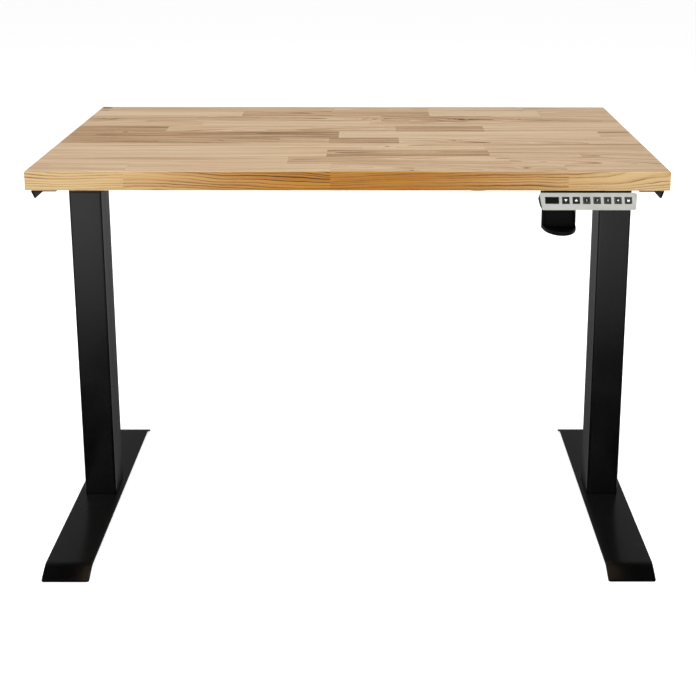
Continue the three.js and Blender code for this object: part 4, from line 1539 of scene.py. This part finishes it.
# %% Housing
HOUSING_WIDTH = 148.0
HOUSING_FRONT = -313.5
HOUSING_FLOOR = 671.0
FLANGE_DEPTH = 24.0
FLANGE_THICK = 2.4
low, high = box_mm("handset_housing")
rear_middle = (FACE_TOP[0], (HOOD_BACK + high[1]) / 2, 0)
rear_block = block(HOUSING_WIDTH, high[1] - HOOD_BACK - 1, HOUSING_FLOOR, high[2], 5, 1.6)
flange = block(HOUSING_WIDTH, FLANGE_DEPTH, high[2] - FLANGE_THICK, high[2], 2, 0.5)
flange = placed(flange, (rear_middle[0], HOUSING_FRONT + FLANGE_DEPTH / 2, 0))
shape = joined(placed(rear_block, rear_middle), flange)
piece("housing_shell", [(shape, PLASTIC)], "lifting_frame", ["handset_housing"])
print("housing:", low.round(1), high.round(1))

# %% [markdown]
# The hook is moulded in one: a tray whose rim keeps a bag's strap on, hung from
# a back plate and two cheeks. Here each wall is an outline carried through its
# thickness, and the four walls make up one piece.

# %% Bag hook
HOOK_BACK = -284.0
HOOK_WALL = 3.0
RIM = 7.0
STRAIGHT = 10.0
low, high = box_mm("bag_hook")


def hook_plan(low, high):
    """The tongue from above: straight sides, then half an ellipse at the front."""
    half, middle = (high[0] - low[0]) / 2, (low[0] + high[0]) / 2
    centre = HOOK_BACK - STRAIGHT
    angle = np.linspace(np.pi, 2 * np.pi, 41)
    front = np.stack([middle + half * np.cos(angle), centre + (centre - low[1]) * np.sin(angle)], -1)
    return np.concatenate([[(middle + half, HOOK_BACK), (middle - half, HOOK_BACK)], front])


bottom, rim_top, inside = low[2], low[2] + RIM, low[2] + HOOK_WALL
line = [(5, bottom), (0, bottom), (0, rim_top), (HOOK_WALL, rim_top), (HOOK_WALL, inside), (9, inside)]
tray = stack(any_outline(hook_plan(low, high)), softened(line, [0, 1.6, 1.2, 1.2, 2.2, 0], 5))
width, middle = high[0] - low[0], (low[0] + high[0]) / 2
plate = block(high[2] - low[2], width, -HOOK_WALL, 0, 2.5, 0.8)
plate = placed(plate, (middle, HOOK_BACK, (low[2] + high[2]) / 2), "y")
side_view = [
    (HOOK_BACK, low[2] + 1), (HOOK_BACK, high[2]), (HOOK_BACK - 7, high[2]),
    (HOOK_BACK - STRAIGHT, rim_top + 12), (HOOK_BACK - STRAIGHT, low[2] + 1),
]
outline = softened(side_view[::-1], [0.8, 0.8, 1.5, 6, 0.8][::-1], 5)
cheek_line = softened([(1.2, 0), (0, 0), (0, HOOK_WALL), (1.2, HOOK_WALL)], [0, 0.6, 0.6, 0], 3)
cheeks = [
    placed(stack(any_outline(outline), cheek_line), (x, 0, 0), "x")
    for x in (low[0], high[0] - HOOK_WALL)
]
tab = placed(block(width - 12, 23, high[2] - HOOK_WALL, high[2], 3, 0.6), (middle, HOOK_BACK + 10.5, 0))
shape = joined(tray, plate, tab, *cheeks)
piece("moulded_hook", [(shape, PLASTIC)], "lifting_frame", ["bag_hook"])
print("hook:", made["moulded_hook"], "faces")

# %% [markdown]
# ## Leads
# Three thin leads run under the top: one from each motor and one from the
# handset, all to the front of the control box. They are clipped up, not free,
# so each is a tube carried along a smooth curve through its clip points.

# %% A tube along a curve
CONTROL_PORT_Y = box_mm("control_box")[0][1] - 1.0


def smooth_path(points, steps=14):
    """A centripetal Catmull-Rom curve: in each span a cubic whose end slopes come from the
    neighbouring points, spaced by the square root of their distances."""
    p = np.asarray(points, float)
    p = np.concatenate([[2 * p[0] - p[1]], p, [2 * p[-1] - p[-2]]])
    gap = np.sqrt(np.linalg.norm(np.diff(p, axis=0), axis=1))[:, None]
    rate = np.diff(p, axis=0) / gap
    wide = (p[2:] - p[:-2]) / (gap[:-1] + gap[1:])
    slope = rate[:-1] - wide + rate[1:]
    a, b, g = p[1:-2], p[2:-1], gap[1:-1]
    t = np.linspace(0, 1, steps, endpoint=False)[None, :, None]
    start, end = (slope[:-1] * g)[:, None], (slope[1:] * g)[:, None]
    a, b = a[:, None], b[:, None]
    curve = (2 * t**3 - 3 * t**2 + 1) * a + (t**3 - 2 * t**2 + t) * start
    curve = curve + (-2 * t**3 + 3 * t**2) * b + (t**3 - t**2) * end
    return np.concatenate([curve.reshape(-1, 3), [p[-2]]])


def lead(points, radius, steps=14):
    """A round tube: at each station a circle across the curve, set out from the
    horizontal direction square to it and the direction square to both."""
    path = smooth_path(points)
    along = np.gradient(path, axis=0)
    along /= np.linalg.norm(along, axis=1, keepdims=True)
    side = np.cross(along, (0, 0, 1))
    side /= np.linalg.norm(side, axis=1, keepdims=True)
    up = np.cross(side, along)
    angle = (np.arange(steps) * 2 * np.pi / steps)[None, :, None]
    ring = np.cos(angle) * side[:, None] - np.sin(angle) * up[:, None]
    return shell(path[:, None] + radius * ring)


# %% [markdown]
# A lead goes where a fitter would clip it: along the motor, down and under the
# rear rail, and up into its port. Each route is a short list of clip points.

# %% Routes
LEAD = 3.0
under_rails = box_mm("front_rail")[0][2] - LEAD - 1.5
front_rail_y, rear_rail_y = centre_mm("front_rail")[1], centre_mm("rear_rail")[1]
_, motor_y, motor_z = centre_mm("motor_right")
PORT_Z = 672.0
MOTOR_END = 373.0


def motor_route(sign, port):
    """From a motor's inner end, under the rear rail, to a port of the control box."""
    turn_x = port + sign * 40
    return [
        (sign * MOTOR_END, motor_y, motor_z), (sign * (MOTOR_END - 25), motor_y, motor_z + 4),
        (sign * 220, motor_y - 4, 686), (turn_x + sign * 20, motor_y - 4, 684),
        (turn_x, motor_y, PORT_Z), (turn_x - sign * 8, rear_rail_y - 12, under_rails),
        (turn_x - sign * 14, rear_rail_y + 12, under_rails),
        (turn_x - sign * 24, rear_rail_y + 50, 668),
        (port, CONTROL_PORT_Y - 40, PORT_Z), (port, CONTROL_PORT_Y, PORT_Z),
    ]


handset_x = FACE_TOP[0]
housing_rear = box_mm("handset_housing")[1][1]
handset_route = [
    (handset_x - 30, housing_rear + 1, 690), (handset_x - 30, housing_rear + 20, 690),
    (handset_x - 70, -170, 684), (handset_x - 150, -130, 664),
    (handset_x - 185, front_rail_y - 14, under_rails),
    (handset_x - 195, front_rail_y + 16, under_rails),
    (handset_x - 225, 0, under_rails - 1), (handset_x - 260, rear_rail_y - 12, under_rails),
    (handset_x - 270, rear_rail_y + 14, under_rails), (130, CONTROL_PORT_Y - 60, 668),
    (110, CONTROL_PORT_Y - 24, PORT_Z), (110, CONTROL_PORT_Y, PORT_Z),
]
ROUTES = (
    ("motor_lead_left", motor_route(-1, -70), LEAD),
    ("motor_lead_right", motor_route(1, 20), LEAD),
    ("handset_lead", handset_route, LEAD - 0.5),
)
for node, route, radius in ROUTES:
    port = block(radius * 2 + 5, radius * 2 + 4, -9, 0.5, 1.5, 0.8)
    port = placed(port, (route[-1][0], CONTROL_PORT_Y + 1, PORT_Z), "y")
    shape = joined(lead(route, radius), port)
    piece(f"run_{node}", [(shape, SHEATH)], "lifting_frame", [node])
print("leads:", [made[f"run_{node}"] for node, _, _ in ROUTES])

# %% [markdown]
# ## CAD parts that stay
# Some parts are right as they are: plates, posts, nuts and bushes inside the
# columns, the socket and the circuit board. They only get their finishes.

# %% Finishes for the CAD parts
KEPT = {
    "column_base_plate": ZINC, "nut_post": ZINC, "lifting_nut": BRONZE,
    "inner_tube_bush": NYLON, "mains_inlet": PLASTIC, "handset_board": BOARD,
}
kept = []
for name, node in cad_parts.items():
    if node.hide_render:
        continue
    finish = next(finish for start, finish in KEPT.items() if name.startswith(start))
    if not node.material_slots:
        node.data.materials.append(finish)
    for slot in node.material_slots:
        slot.material = finish
    kept.append(name)
print("kept CAD parts:", sorted(kept))

# %% [markdown]
# ## The finished model
# A desk is delivered to the size on its label, and dressing it must not change
# that. The last cell only brings the scene up to date.

# %% Bringing the scene up to date
bpy.context.view_layer.update()
